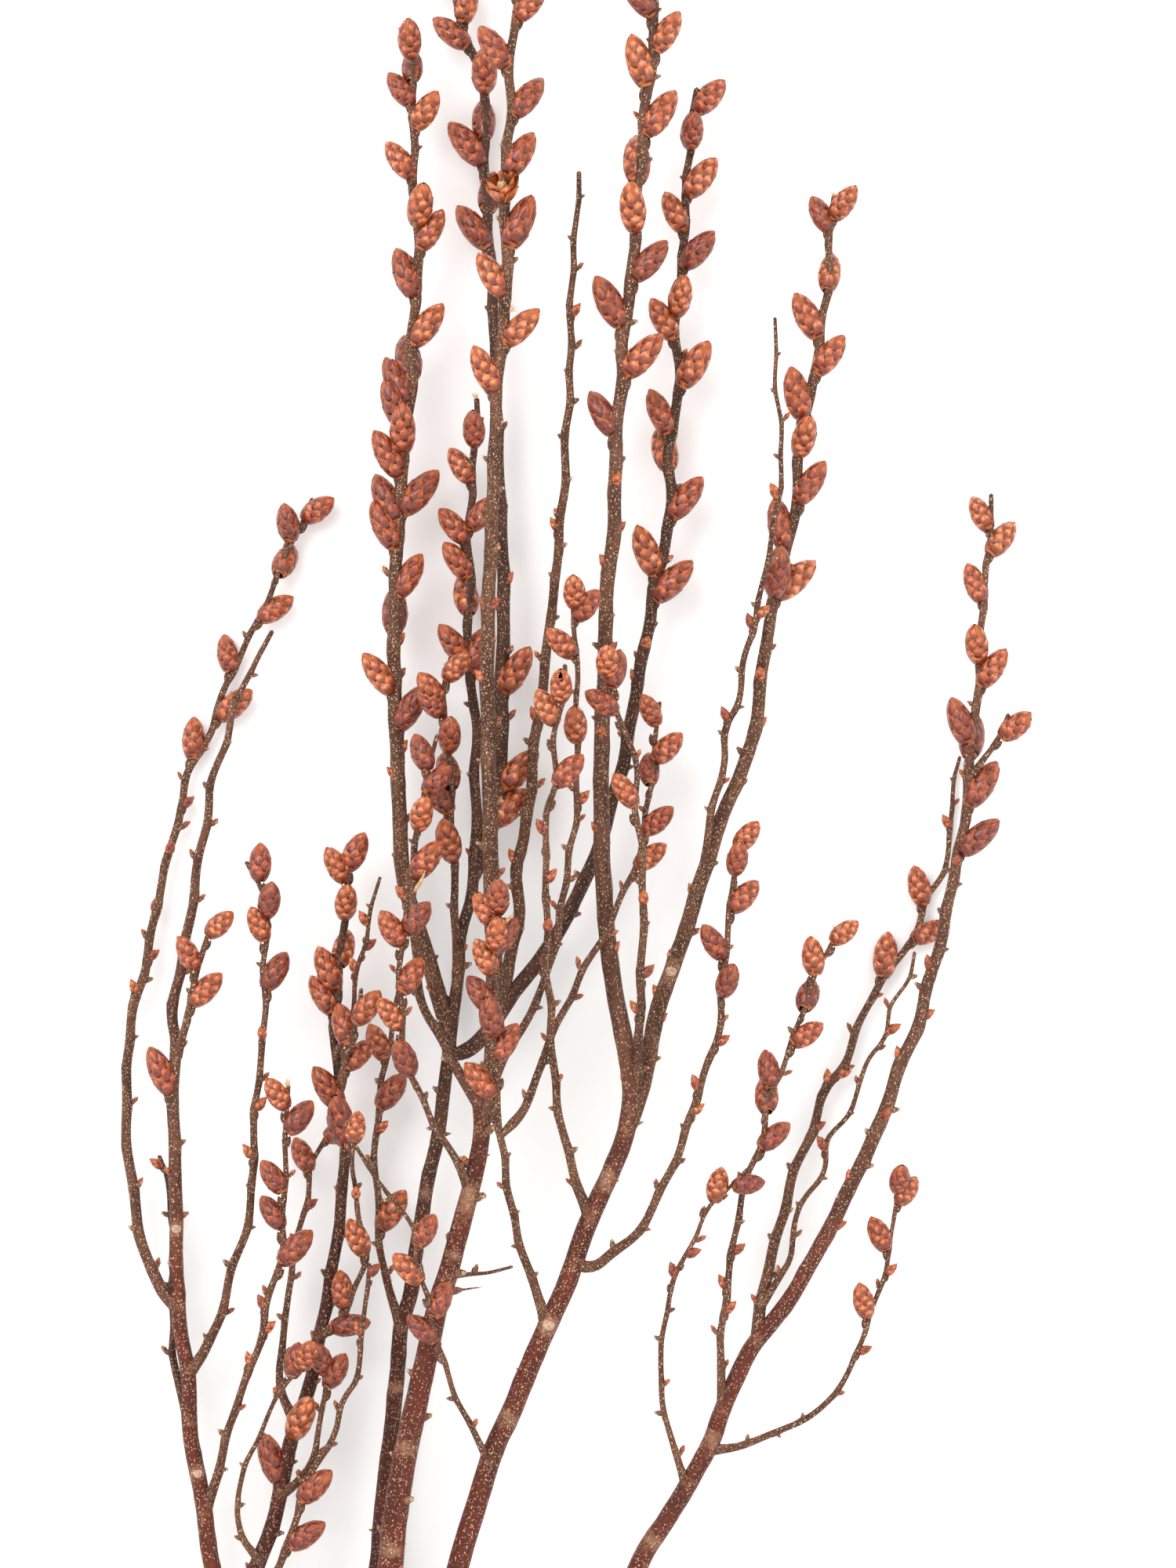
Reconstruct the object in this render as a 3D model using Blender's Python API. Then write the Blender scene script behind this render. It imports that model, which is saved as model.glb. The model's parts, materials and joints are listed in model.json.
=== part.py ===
"""A cut branch of bog myrtle in winter bud, lying on the plane z = 0.

Metres, +Z up. The stems run along +Y and the branch is seen from above. Routes, radii and heights
below are in millimetres. A route's first point lies on the middle of the stem that the branch leaves.
"""

import math
import random

import bmesh
import bpy
import numpy as np
from mathutils import Matrix, Vector

MM = 0.001
CENTRE = (-2.050, 83.014)  # middle of the whole branch in the routes' own millimetres
SEED = 41

STEP = 2.0  # spacing of the samples along a branch
BEND = 0.45  # how far a stem's solid, straight between its rings, may leave its route
LONGEST = 14  # most samples between two rings
FINE = 12  # samples between two route points before they are made even
TAPER = 0.8  # how a stem thins out from its foot to its tip

CATKIN_LENGTH = (4.1, 6.0)  # on the thinnest twig, and what each millimetre of its radius adds
CATKIN_WIDTH = (3.2, 1.4)
THICKEST = 0.9  # radius above which catkins grow no larger
CATKIN_SIDES = 4
CATKIN_RINGS = ((0.24, 0.86), (0.50, 1.0), (0.77, 0.74))  # share of length, of width
CATKIN_LEAN = 33.0  # degrees away from the stem
BUD_LENGTH = 2.3
BUD_WIDTH = 1.3
BUD_SIDES = 3
BUD_LEAN = 40.0
LEAN_SPREAD = 6.0
TURN_SPREAD = 22.0  # degrees round the stem, either way
SIZE_SPREAD = 0.07
CATKIN_BALLS = ((0.22, 0.72), (0.45, 1.0), (0.68, 0.84), (0.9, 0.45))  # share of length, of width
BUD_BALL = 0.6

THICK = 1.5  # radius at the foot above which a stem has THICK_SIDES
THICK_SIDES = 6
THIN_SIDES = 4
CUTTER_SIDES = 8

GAP = 0.3  # between solids that would touch
CLEARANCE = 0.7  # kept between stems that pass each other
ROOT_FREE = 9.0  # length at a branch's foot that may touch the stem it leaves
ROOT_BLEND = 22.0  # length over which a foot follows the stem it leaves
SPREAD = 7  # samples each way that bend along with one that is pushed
ROUNDS = 500
BUTT_STRAIGHT = 45.0
REST_DEPTH = 0.12  # taken off the underside where the branch rests
REST_SHARE = 0.78  # height of the cut butt's middle, as a share of its radius

WELD = 1e-6  # metres
SLAB = (0.4, 0.6, 0.02)  # metres, the block whose top is the plane the branch lies on

BARK_RED = (0.13, 0.035, 0.022)
BARK_BROWN = (0.12, 0.065, 0.045)
BARK_DARK = (0.055, 0.030, 0.022)

# name, stem it leaves, radius at foot and at tip, height of its tip, route, growth.
# In growth a capital is a catkin and a small letter a side bud, to the left, right, front or back of
# the stem as seen from above, and the number is how far up the branch (Y) it sits.
BRANCHES = (
    ("main_stem", None, 3.0, 1.3, 20.0,
     ((-21, -113), (-23.5, -98), (-26, -80), (-29, -60), (-32, -38), (-34, -18), (-32.8, 0),
      (-31.5, 12), (-29.6, 22), (-27.4, 32), (-25, 43), (-22.6, 51), (-20.2, 60), (-18.2, 68),
      (-17.6, 74), (-18.2, 79.5)), ""),
    ("left_limb", "main_stem", 1.9, 0.4, 11.0,
     ((-25.7, -82), (-34, -72), (-42.5, -58), (-50, -42), (-56.6, -24), (-62.5, 0), (-64, 11),
      (-66, 21), (-66.4, 31), (-67.9, 41), (-68.4, 52), (-68.5, 64), (-68.9, 76), (-68.6, 87),
      (-69, 92), (-67.6, 100), (-66, 108), (-65.1, 115), (-63.3, 124), (-62.3, 131),
      (-60.2, 137), (-58.6, 143), (-55.8, 149.5), (-52.5, 155.3)), "L79"),
    ("right_centre_limb", "main_stem", 1.95, 0.6, 18.0,
     ((-31.9, -39), (-27.2, -30), (-25.2, -20), (-23.6, -9.5), (-21.6, 0), (-18.6, 10),
      (-15.8, 19), (-12.2, 27), (-9, 35), (-6, 41.5), (-3.2, 48), (-1, 54.5), (1.4, 60.5),
      (4, 66), (6.2, 72), (7.2, 79), (6.4, 85), (4.9, 93), (3.6, 101), (2.8, 110), (2.3, 120),
      (2.2, 131), (2.4, 141), (2.9, 151), (3, 161), (4.2, 171), (4.5, 181), (4.8, 190),
      (5.8, 198), (5.7, 204), (6.9, 211), (7.7, 219), (7.9, 227), (9, 235), (9.5, 243),
      (10.9, 251), (10.8, 259), (11.8, 268), (12.6, 279)),
     "l79 r102 l122 f137 r151 l166 r172 f179 L188 R197 L206 R213 F222 B229 R237 L245 R252 L257 "
     "R263 L268 R272 F274"),
    ("right_limb", "main_stem", 2.1, 0.4, 10.0,
     ((-24.3, -93), (-16.5, -82), (-11, -67), (-6.6, -51), (-2.4, -35), (2.2, -17), (8.4, 0),
      (13, 7.5), (17.2, 14.5), (20.2, 20), (22.2, 25.5), (24.6, 31), (27, 36), (31, 41),
      (34.6, 46), (38.2, 52.5), (41.4, 58.5), (44, 64), (47.4, 71), (49.8, 77), (51.8, 83),
      (54.9, 90), (56.6, 97), (58.8, 104.5), (60.2, 112), (61.9, 120), (63.1, 128),
      (63.5, 136), (64.8, 144), (65, 152), (65.6, 160), (66.5, 168), (67, 178)),
     "r57 l63 f75 l83 r91 l98 f116 R118 R126 L137 B134 R146 F151 L161 R168 L172"),
    ("back_limb", "main_stem", 1.7, 0.45, 8.0,
     ((-28.2, -65), (-35.6, -54), (-39, -40), (-39.4, -26), (-37.4, -11), (-35, 0), (-34.2, 10),
      (-33, 20), (-31.9, 30), (-31.2, 39),
      (-29.6, 45), (-28.6, 52), (-27.2, 61), (-25.3, 70), (-24, 78), (-23.2, 86), (-21.9, 95),
      (-21.2, 104), (-19.4, 112), (-18.6, 122), (-18.8, 132), (-18.6, 141), (-20, 150),
      (-19.8, 158), (-19.6, 165), (-20, 171), (-19.4, 178), (-18.8, 186), (-18.5, 194)),
     "L151 R149 L164 B159 R172 L171 L180 F187"),
    ("low_limb", "left_limb", 1.4, 0.45, 13.0,
     ((-59.7, -13), (-57, -5), (-55, 0), (-51.8, 9), (-49.6, 20), (-46.6, 29), (-44.4, 39),
      (-42.4, 50), (-41, 60), (-40.4, 70), (-41.2, 79), (-42.1, 88), (-41.5, 97),
      (-40.6, 106), (-40, 112), (-40.3, 117.5)),
     "L14 F22 L75 F70 L92 L96 B100 F107 L114 R115"),
    ("left_outer_twig", "left_limb", 0.95, 0.35, 1.5,
     ((-68.1, 43), (-71, 46), (-74, 53), (-75.6, 62), (-76.8, 72), (-76.6, 84), (-75.8, 92),
      (-73.6, 100), (-72.2, 108), (-69.9, 118), (-67.6, 127), (-66.2, 133), (-62.4, 139.5),
      (-60.6, 146), (-57.6, 152), (-54.6, 158), (-51.6, 165), (-49, 171), (-46, 177.5)),
     "l94 r101 b108 f118 r126 L133 R140 L149 R157 B164 L170 R174"),
    ("left_inner_twig", "left_limb", 0.8, 0.35, 18.0,
     ((-66.4, 32), (-63.5, 36), (-61, 42), (-59.2, 49), (-56.8, 56), (-55.6, 64), (-55.5, 71),
      (-54.8, 80), (-53.6, 90), (-53.7, 99), (-53.2, 107), (-53.6, 112), (-56.6, 117)),
     "l68 r75 f88 R95 L103 F108 R113"),
    ("left_back_twig", "left_limb", 0.7, 0.35, 4.0,
     ((-66.3, 24), (-68.6, 32), (-69.2, 42), (-69.1, 54), (-69.8, 62), (-71.4, 68)), "l66"),
    ("left_side_spray", "left_limb", 0.65, 0.35, 17.0,
     ((-68.6, 84), (-67, 90), (-65.6, 95), (-64.4, 101), (-62.6, 106.5)), "R94 L100 R104"),
    ("left_low_twig", "left_limb", 0.75, 0.35, 19.0,
     ((-63.7, 9), (-61.2, 17), (-58.4, 27), (-54.8, 36), (-53.4, 43), (-51, 51), (-50.5, 58),
      (-50.1, 68), (-49.6, 80)), "l34 r39 l43 R50 L56 L63 R73 L76"),
    ("low_hook_twig", "low_limb", 0.5, 0.3, 17.0,
     ((-54.6, 1), (-57, 4.5), (-58.4, 10), (-57, 16), (-54.6, 22), (-51.6, 28), (-48.8, 32),
      (-46.6, 34.5)), "L31 F33"),
    ("low_right_twig", "low_limb", 0.65, 0.35, 19.0,
     ((-57.3, -5.9), (-54, -3.2), (-51, 0.6), (-48.8, 7), (-47.5, 12.5), (-44.6, 18),
      (-41.8, 23), (-40.4, 28), (-38.4, 32), (-37.3, 39), (-36.9, 45), (-36.2, 50.5)),
     "R4 R11 l38 r48"),
    ("low_middle_twig", "low_limb", 0.6, 0.35, 15.0,
     ((-51.1, 12), (-48, 14), (-46, 17.5), (-44.7, 23), (-43.4, 29), (-43.6, 34)), "R29 F31"),
    ("low_back_twig", "low_limb", 0.65, 0.35, 6.0,
     ((-48.6, 24), (-50.6, 28.5), (-51.3, 34), (-50.2, 41), (-49.6, 48), (-48, 56),
      (-46.6, 62), (-45.8, 67), (-43.4, 72), (-42, 74.5)), "r60 L66 R71"),
    ("low_bent_twig", "low_limb", 0.5, 0.35, 17.0,
     ((-44.4, 38.5), (-41, 41.5), (-38.3, 47), (-36.9, 52), (-37.8, 58), (-39, 65),
      (-38.6, 71)), "R40 L43 L51 f61"),
    ("low_front_spray", "low_limb", 0.6, 0.35, 19.0,
     ((-41.2, 79), (-40.2, 83.5), (-39.1, 88), (-37.5, 96)), "R82 L86 R91"),
    ("low_thin_twig", "low_limb", 0.45, 0.3, 22.0,
     ((-41.9, 85), (-39.4, 91), (-38.4, 98), (-36.9, 104), (-35.8, 109), (-34.4, 114.5)),
     "l99 r102 l106"),
    ("back_left_twig", "back_limb", 0.65, 0.4, 8.0,
     ((-31.2, 40), (-33.6, 47), (-34.6, 54), (-35.1, 62), (-35.4, 69), (-34.9, 76),
      (-33.8, 83), (-32.6, 89), (-31.4, 96)), "R56 r71 R77 L84"),
    ("left_tall_twig", "back_limb", 1.4, 0.45, 12.0,
     ((-23, 88), (-25, 95.5), (-27, 102), (-28.6, 107.5), (-30.4, 113), (-31.2, 121),
      (-31.5, 130), (-31.9, 139), (-32.2, 150), (-32.1, 160), (-31.7, 170), (-31, 179),
      (-30.6, 187), (-29.4, 195), (-29.3, 203), (-28.6, 211), (-28, 217), (-28.6, 224),
      (-29, 231), (-28.9, 238), (-29.2, 245), (-29.8, 256.5)),
     "l131 r135 R138 L145 r152 B155 R160 L168 R175 L172 L181 F184 L188 L193 B196 R202 L210 R219 "
     "F222 L230 R238 L242 B247 F251"),
    ("left_arm_twig", "main_stem", 0.85, 0.35, 20.0,
     ((-18, 77), (-20.8, 81.5), (-23.8, 87), (-26.8, 92), (-28.2, 98), (-28.8, 105),
      (-29.2, 112), (-28.6, 119), (-27.4, 127), (-25, 138)), "R115 F122 R128 L132"),
    ("middle_spray", "back_limb", 0.75, 0.35, 14.0,
     ((-21.7, 97), (-22, 104), (-22.1, 112), (-22.6, 122), (-22.7, 131), (-23.6, 139),
      (-24.2, 145), (-22.8, 151)), "F117 L125 B129 F135 L141 L144 R147"),
    ("front_left_twig", "main_stem", 0.6, 0.35, 30.0,
     ((-19.6, 62.5), (-22.6, 69), (-25.8, 74.5), (-28.4, 80), (-30.4, 85.5), (-30.8, 92),
      (-31, 99), (-30.4, 106), (-29.8, 115)), "F81 L89 R95 L103 R105 l112"),
    ("front_low_twig", "right_centre_limb", 0.5, 0.3, 30.0,
     ((-16.4, 17.2), (-19.6, 23.5), (-22.4, 30), (-24.6, 36.5), (-26.2, 43.5), (-28, 50),
      (-28.8, 56), (-31.6, 61), (-35.6, 65.8), (-38.6, 70.5), (-40, 74.5)),
     "L38 R41 L47 R53 R71"),
    ("dead_twig", "main_stem", 0.35, 0.25, 13.0,
     ((-23.4, 48.3), (-19.6, 48.5), (-16.4, 48.8), (-12.6, 49.9)), ""),
    ("tall_back_stem", "back_limb", 1.25, 0.55, 6.0,
     ((-19.2, 113.5), (-17, 120), (-15, 128), (-14.4, 137), (-14.4, 147), (-14, 158),
      (-14.2, 168), (-14.8, 180), (-15.2, 192), (-15.6, 204), (-15.9, 213), (-16.6, 222),
      (-17, 230), (-17.4, 236), (-16.8, 242), (-17.8, 247.5), (-20.2, 254), (-22.4, 262),
      (-24.6, 272)),
     "R123 R129 R145 r163 L220 B226 L233 B238 F245 L253 R257 L262 R266"),
    ("tall_front_stem", "main_stem", 1.45, 0.6, 20.0,
     ((-17.6, 73), (-16, 82), (-15.6, 92), (-15.6, 102), (-16, 112), (-16.2, 124),
      (-16.5, 137), (-16.7, 150), (-16.4, 162), (-15.9, 174), (-15.4, 187), (-14.9, 198),
      (-13.9, 206), (-13.4, 216), (-13.8, 227), (-13.4, 235), (-12.7, 241), (-13, 248),
      (-12, 257), (-10.6, 265), (-9.8, 274)),
     "l146 r159 l158 L195 R203 L211 R218 F226 R230 R240 L249 R256 L261 R266"),
    ("front_twig", "right_centre_limb", 0.75, 0.4, 33.0,
     ((-7, 41), (-8.8, 46), (-11, 53), (-12.9, 61), (-14, 69), (-14.9, 76), (-15.4, 84),
      (-15.4, 92), (-15.4, 100), (-15, 106), (-14.6, 112.5)),
     "L79 R85 F88 L93 L98 R102 F103 L106 F108"),
    ("crossing_stem", "back_limb", 1.3, 0.5, 8.0,
     ((-23.3, 85), (-20.5, 85.5), (-17.5, 88), (-14.5, 92), (-11.8, 96), (-8.3, 100.5),
      (-5.4, 104.5), (-2.8, 109.5), (0.2, 115.5), (2.6, 122), (4.2, 128), (6, 134),
      (7.2, 141), (8.7, 149), (10.2, 157), (11.3, 164), (13.1, 171), (13.8, 178),
      (13.3, 185), (14.4, 191), (15.3, 197), (14.5, 204), (15, 211), (15.9, 219),
      (16.2, 227), (16.9, 235), (18.1, 245.5)),
     "l147 f153 R160 L165 R174 B182 L187 R195 L204 F207 R216 L222 R227 F235 R242"),
    ("middle_tall_twig", "crossing_stem", 1.05, 0.4, 12.0,
     ((-15, 91.3), (-13.6, 97), (-12.6, 103), (-11.4, 109), (-11.9, 116), (-10.6, 121.5),
      (-9.6, 128), (-9.1, 135), (-8.1, 141.5), (-7.1, 149), (-6.4, 157), (-5.3, 164),
      (-4.9, 171), (-4, 178), (-3.7, 187), (-3, 196), (-2.9, 207), (-2.6, 215), (-2, 223),
      (-1.5, 231.5)), "l117 l140 l171 r208"),
    ("slanting_twig", "front_twig", 0.7, 0.35, 13.0,
     ((-14.3, 72), (-10.2, 76.6), (-7.8, 84), (-5.4, 89.5), (-2.8, 95), (0, 100.5),
      (2.6, 105), (5.2, 110.5), (7.6, 115.5), (9.2, 122), (10.2, 129), (11.3, 137),
      (11.9, 143.5)), "R116 R121 B129 R133 L140"),
    ("middle_thin_twig", "tall_front_stem", 0.7, 0.35, 25.0,
     ((-15.8, 81), (-13.4, 85.5), (-10.8, 89.5), (-8.8, 94), (-6.8, 98.5), (-5.3, 104),
      (-4.2, 111), (-3.1, 118), (-1.9, 125.5), (-1.8, 133), (-2, 141), (-1.6, 147),
      (-2.3, 154), (-1.9, 161)), "r127 F137 L151 R156 F158"),
    ("middle_front_twig", "right_centre_limb", 0.75, 0.4, 33.0,
     ((0.2, 58.5), (-2.2, 65), (-4.1, 72), (-5.3, 79), (-6, 87), (-6.3, 94), (-7, 101),
      (-6.7, 109), (-7.1, 118), (-6.6, 125.5), (-5.4, 131), (-5.5, 138), (-4.2, 144.5),
      (-3.8, 149.5)), "f106 r113 l121 R130 L139 F144"),
    ("red_front_twig", "right_centre_limb", 0.8, 0.35, 29.0,
     ((7.1, 76), (8.3, 84), (8.6, 93), (8.9, 102), (9.1, 111), (9, 118), (7.9, 125),
      (8, 132), (6.2, 138.5), (4.3, 143.5), (2.6, 149.5)),
     "l92 r99 f111 L126 L142 R145 F147"),
    ("right_tall_twig", "right_centre_limb", 1.45, 0.5, 13.0,
     ((6.6, 73), (9, 80), (10.4, 87), (12, 94), (14.4, 100.5), (16.6, 107), (18.6, 113.5),
      (20.6, 119.5), (22.8, 126), (25.2, 131.5), (27.2, 137), (28.3, 143), (29, 150),
      (30.4, 158), (32, 166), (34, 173), (34.8, 180), (35.2, 188), (37.2, 195), (38, 201),
      (38.9, 207), (40, 214), (40.2, 221), (40.9, 227.5)),
     "r90 l94 l111 r139 f147 R160 F161 L168 R176 F184 L190 R197 L204 B212 L221 R224"),
    ("right_thin_twig", "right_tall_twig", 0.65, 0.3, 22.0,
     ((18.4, 113), (19.6, 120), (21, 127.5), (22.6, 134), (23, 139.5), (25.2, 145),
      (26, 151.5), (27.8, 157.5), (29.2, 165), (30.6, 172), (31.8, 180), (32, 187),
      (31, 197), (30.9, 207)), "l140 l155 r158 l177"),
    ("right_inner_spray", "right_centre_limb", 0.8, 0.4, 22.0,
     ((-2.2, 50.5), (0.8, 49.8), (4, 52), (8, 55.5), (10.8, 60), (13.4, 65.5), (15.6, 70.5),
      (17.4, 76.5), (19.2, 82), (21.2, 87), (22, 93), (22.4, 99), (23.1, 106), (24, 113),
      (24.5, 121)), "r75 l80 r87 F95 L101 R108 F115 R119"),
    ("right_spur", "right_limb", 0.5, 0.35, 14.0,
     ((63.4, 131), (65.6, 133.8), (68, 137), (69.7, 141.5)), "R138"),
    ("right_middle_twig", "right_limb", 0.95, 0.3, 1.0,
     ((28.2, 37.6), (28.9, 44), (30.4, 51), (32.4, 58), (34.2, 65), (37.2, 72),
      (39.6, 79), (43, 84), (45.6, 91), (48.4, 96.5), (51.6, 100.5), (54.4, 105),
      (56.4, 110.5), (59, 115), (60.4, 120.5), (60.6, 127), (62, 134.5)),
     "r73 l79 r82 L97 R104 L110 l123"),
    ("right_bent_twig", "right_middle_twig", 0.5, 0.3, 12.0,
     ((28.9, 43.5), (31.4, 47), (33.6, 51), (34, 56), (36, 61), (39.2, 66), (40, 71),
      (43, 75), (45.2, 80), (46.6, 84.5), (49.4, 88.5), (50.4, 93), (53, 97.5),
      (54.2, 102)), "l70 r88"),
    ("right_red_spray", "right_limb", 0.65, 0.35, 17.0,
     ((22.4, 26), (21.9, 33), (22.5, 42), (23.6, 50), (25, 59), (26.8, 66), (29.2, 72),
      (30, 78), (32.6, 84), (34.6, 89.5), (36.8, 96), (39, 101), (41, 105.5)),
     "r42 l46 r52 R70 B75 L79 R87 B93 L98 R103"),
    ("right_left_spray", "right_limb", 0.55, 0.3, 20.0,
     ((16.4, 13.2), (14.6, 18), (13.2, 24), (12, 30), (12.3, 37), (13.2, 44), (15.2, 50),
      (17.6, 55), (19.8, 59.5), (23.4, 63), (26.4, 66.3)), "l48 r52 L60 R64"),
    ("right_low_spray", "right_limb", 0.6, 0.3, 11.0,
     ((19.9, 19.2), (25.6, 19.8), (31, 22.4), (36.4, 24.4), (41, 29), (44.4, 34.5),
      (46.6, 41.5), (49.2, 47.5), (49.9, 53.5), (51.3, 59.5), (51.1, 64)),
     "r36 L42 r48 L53 R60 F62"),
)
SIDES = {"R": 0.0, "F": 90.0, "L": 180.0, "B": 270.0}  # degrees round the stem
RED_STEMS = ("main_stem", "left_limb", "right_centre_limb", "right_limb")
DARK_STEMS = ("back_limb", "tall_back_stem", "left_back_twig", "low_limb", "crossing_stem")


def smooth_route(points):
    """Even samples of a smooth curve through the points, and how far along each one lies."""
    knots = np.array(points, float)
    ends = np.vstack([2 * knots[0] - knots[1], knots, 2 * knots[-1] - knots[-2]])
    t = np.linspace(0, 1, FINE, endpoint=False)[:, None]
    pieces = []
    for before, start, end, after in zip(ends, ends[1:], ends[2:], ends[3:]):
        slope = (end - before) / 2
        slope_end = (after - start) / 2
        chord = end - start
        pieces.append(start + slope * t + (3 * chord - 2 * slope - slope_end) * t**2
                      + (slope + slope_end - 2 * chord) * t**3)
    dense = np.vstack(pieces + [knots[-1:]])
    run = np.concatenate([[0], np.cumsum(np.linalg.norm(np.diff(dense, axis=0), axis=1))])
    even = np.linspace(0, run[-1], max(6, round(run[-1] / STEP) + 1))
    return np.column_stack([np.interp(even, run, dense[:, axis]) for axis in (0, 1)]), even


def growths_of(branch, text, draw):
    """The catkins and buds that a growth string names, with their direction and size."""
    found = []
    for word in text.split():
        at = int(np.argmin(np.abs(branch["xy"][:, 1] - float(word[1:]))))
        catkin = word[0].isupper()
        turn = math.radians(SIDES[word[0].upper()] + draw.uniform(-TURN_SPREAD, TURN_SPREAD))
        lean = math.radians((CATKIN_LEAN if catkin else BUD_LEAN)
                            + draw.uniform(-LEAN_SPREAD, LEAN_SPREAD))
        along = branch["along"][at]
        right = np.array([along[1], -along[0], 0.0])
        out = right * math.cos(turn) + np.array([0.0, 0.0, 1.0]) * math.sin(turn)
        size = draw.uniform(1 - SIZE_SPREAD, 1 + SIZE_SPREAD)
        girth = min(branch["radius"][at], THICKEST)
        length, width = ((base + extra * girth for base, extra in (CATKIN_LENGTH, CATKIN_WIDTH))
                         if catkin else (BUD_LENGTH, BUD_WIDTH))
        found.append({
            "at": at, "catkin": catkin, "spin": draw.uniform(0, 360),
            "length": length * size, "width": width * size,
            "axis": along * math.cos(lean) + out * math.sin(lean),
        })
    return found


def read_branches():
    branches = []
    names = [row[0] for row in BRANCHES]
    for order, (name, parent, foot, tip, height, route, growth) in enumerate(BRANCHES):
        xy, run = smooth_route(route)
        along = np.gradient(xy, axis=0)
        along /= np.linalg.norm(along, axis=1)[:, None]
        branch = {
            "name": name, "order": order, "xy": xy, "run": run, "height": height,
            "parent": names.index(parent) if parent else None,
            "radius": tip + (foot - tip) * (1 - run / run[-1]) ** TAPER,
            "along": np.column_stack([along, np.zeros(len(xy))]),
        }
        branch["growths"] = growths_of(branch, growth, random.Random(SEED + order))
        branches.append(branch)
    return branches


def balls_of(branch):
    """Balls that fill the branch: sample, place beside it, height above it, radius, on the stem."""
    balls = [(at, 0.0, 0.0, 0.0, radius, True) for at, radius in enumerate(branch["radius"])]
    for growth in branch["growths"]:
        length, width = growth["length"], growth["width"]
        if growth["catkin"]:
            spots = [(share * length, fill * width / 2) for share, fill in CATKIN_BALLS]
        else:
            spots = [(BUD_BALL * length, BUD_BALL * width)]
        for distance, radius in spots:
            balls.append((growth["at"], *(growth["axis"] * distance), radius, False))
    return balls


def heights(branches, starts, offset):
    """Height of every sample: the parent's at the foot, and the branch's own bend from there."""
    z = np.zeros(len(offset))
    for branch, start in zip(branches, starts):
        share = branch["run"] / branch["run"][-1]
        end = start + len(share)
        if branch["parent"] is None:
            root = REST_SHARE * branch["radius"][0]
            rise = share**2 * (3 - 2 * share)
        else:
            parent = branches[branch["parent"]]
            near = np.argmin(np.linalg.norm(parent["xy"] - branch["xy"][0], axis=1))
            root = z[starts[branch["parent"]] + near]
            rise = 1 - (1 - share) ** 2
        z[start:end] = root + (branch["height"] - root) * rise + offset[start:end]
    return z


def settle(branches):
    """Bends the branches up and down, and nowhere else, until they pass clear of each other."""
    counts = [len(branch["run"]) for branch in branches]
    starts = np.concatenate([[0], np.cumsum(counts)[:-1]]).astype(int)
    rows = [(order, start + ball[0], *ball[1:]) for order, (branch, start)
            in enumerate(zip(branches, starts)) for ball in balls_of(branch)]
    owner = np.array([row[0] for row in rows])
    sample = np.array([row[1] for row in rows])
    lift = np.array([row[4] for row in rows])
    reach = np.array([row[5] for row in rows])
    stem = np.array([row[6] for row in rows])
    all_xy = np.vstack([branch["xy"] for branch in branches])
    all_run = np.concatenate([branch["run"] for branch in branches])
    place = all_xy[sample] + np.array([row[2:4] for row in rows])

    one, two = np.triu_indices(len(rows), 1)
    flat = np.linalg.norm(place[one] - place[two], axis=1)
    limit = reach[one] + reach[two] + CLEARANCE
    near = (owner[one] != owner[two]) & (flat < limit)
    one, two, flat, limit = one[near], two[near], flat[near], limit[near]
    parents = np.array([-1 if branch["parent"] is None else branch["parent"]
                        for branch in branches])
    foot_one = (all_run[sample[one]] < ROOT_FREE) & stem[one]
    foot_two = (all_run[sample[two]] < ROOT_FREE) & stem[two]
    joined_here = ((parents[owner[one]] == owner[two]) & foot_one) | (
        (parents[owner[two]] == owner[one]) & foot_two) | (
        (parents[owner[one]] == parents[owner[two]]) & foot_one & foot_two)
    one, two, flat, limit = (value[~joined_here] for value in (one, two, flat, limit))
    need = np.sqrt(limit**2 - flat**2)

    offset = np.zeros(len(all_run))
    z = heights(branches, starts, offset)
    level = z[sample] + lift
    pair = owner[one] * len(branches) + owner[two]
    order_sum = np.bincount(pair, level[one] - level[two], len(branches) ** 2)
    above = np.where(order_sum[pair] >= 0, 1.0, -1.0)

    window = np.hanning(2 * SPREAD + 3)[1:-1]
    window /= window.sum()
    hold = np.clip(all_run / ROOT_BLEND, 0, 1) ** 2
    butt = slice(0, counts[0])
    hold[butt] = np.clip((all_run[butt] - BUTT_STRAIGHT) / BUTT_STRAIGHT, 0, 1)
    for _ in range(ROUNDS):
        level = z[sample] + lift
        push = np.clip(need - above * (level[one] - level[two]), 0, None) * above * 0.5
        sink = np.clip(reach - REST_DEPTH / 2 - level, 0, None)
        total = np.bincount(sample[one], push, len(z)) - np.bincount(sample[two], push, len(z))
        total += np.bincount(sample, sink, len(z))
        hits = np.bincount(sample[one], push != 0, len(z)) + np.bincount(
            sample[two], push != 0, len(z)) + np.bincount(sample, sink > 0, len(z))
        move = total / np.maximum(hits, 1)
        for start, count in zip(starts, counts):
            piece = slice(start, start + count)
            padded = np.pad(move[piece], SPREAD, mode="edge")
            offset[piece] += np.convolve(padded, window, mode="valid") * hold[piece]
        z = heights(branches, starts, offset)
    for branch, start, count in zip(branches, starts, counts):
        branch["points"] = np.column_stack([branch["xy"], z[start:start + count]])


def rings_of(branch):
    """Sample numbers at which the stem's solid has a ring: as few as keep it close to its route."""
    if "rings" in branch:
        return branch["rings"]
    points = branch["points"]
    last = len(points) - 1
    every = np.arange(len(points))
    rings = list(np.round(np.linspace(0, last, max(3, last // LONGEST + 2))).astype(int))
    while True:
        straight = np.column_stack([np.interp(every, rings, points[rings, axis])
                                    for axis in range(3)])
        away = np.linalg.norm(points - straight, axis=1)
        worst = int(np.argmax(away))
        if away[worst] < BEND:
            break
        rings = sorted(rings + [worst])
    branch["rings"] = np.array(rings)
    return branch["rings"]


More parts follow.
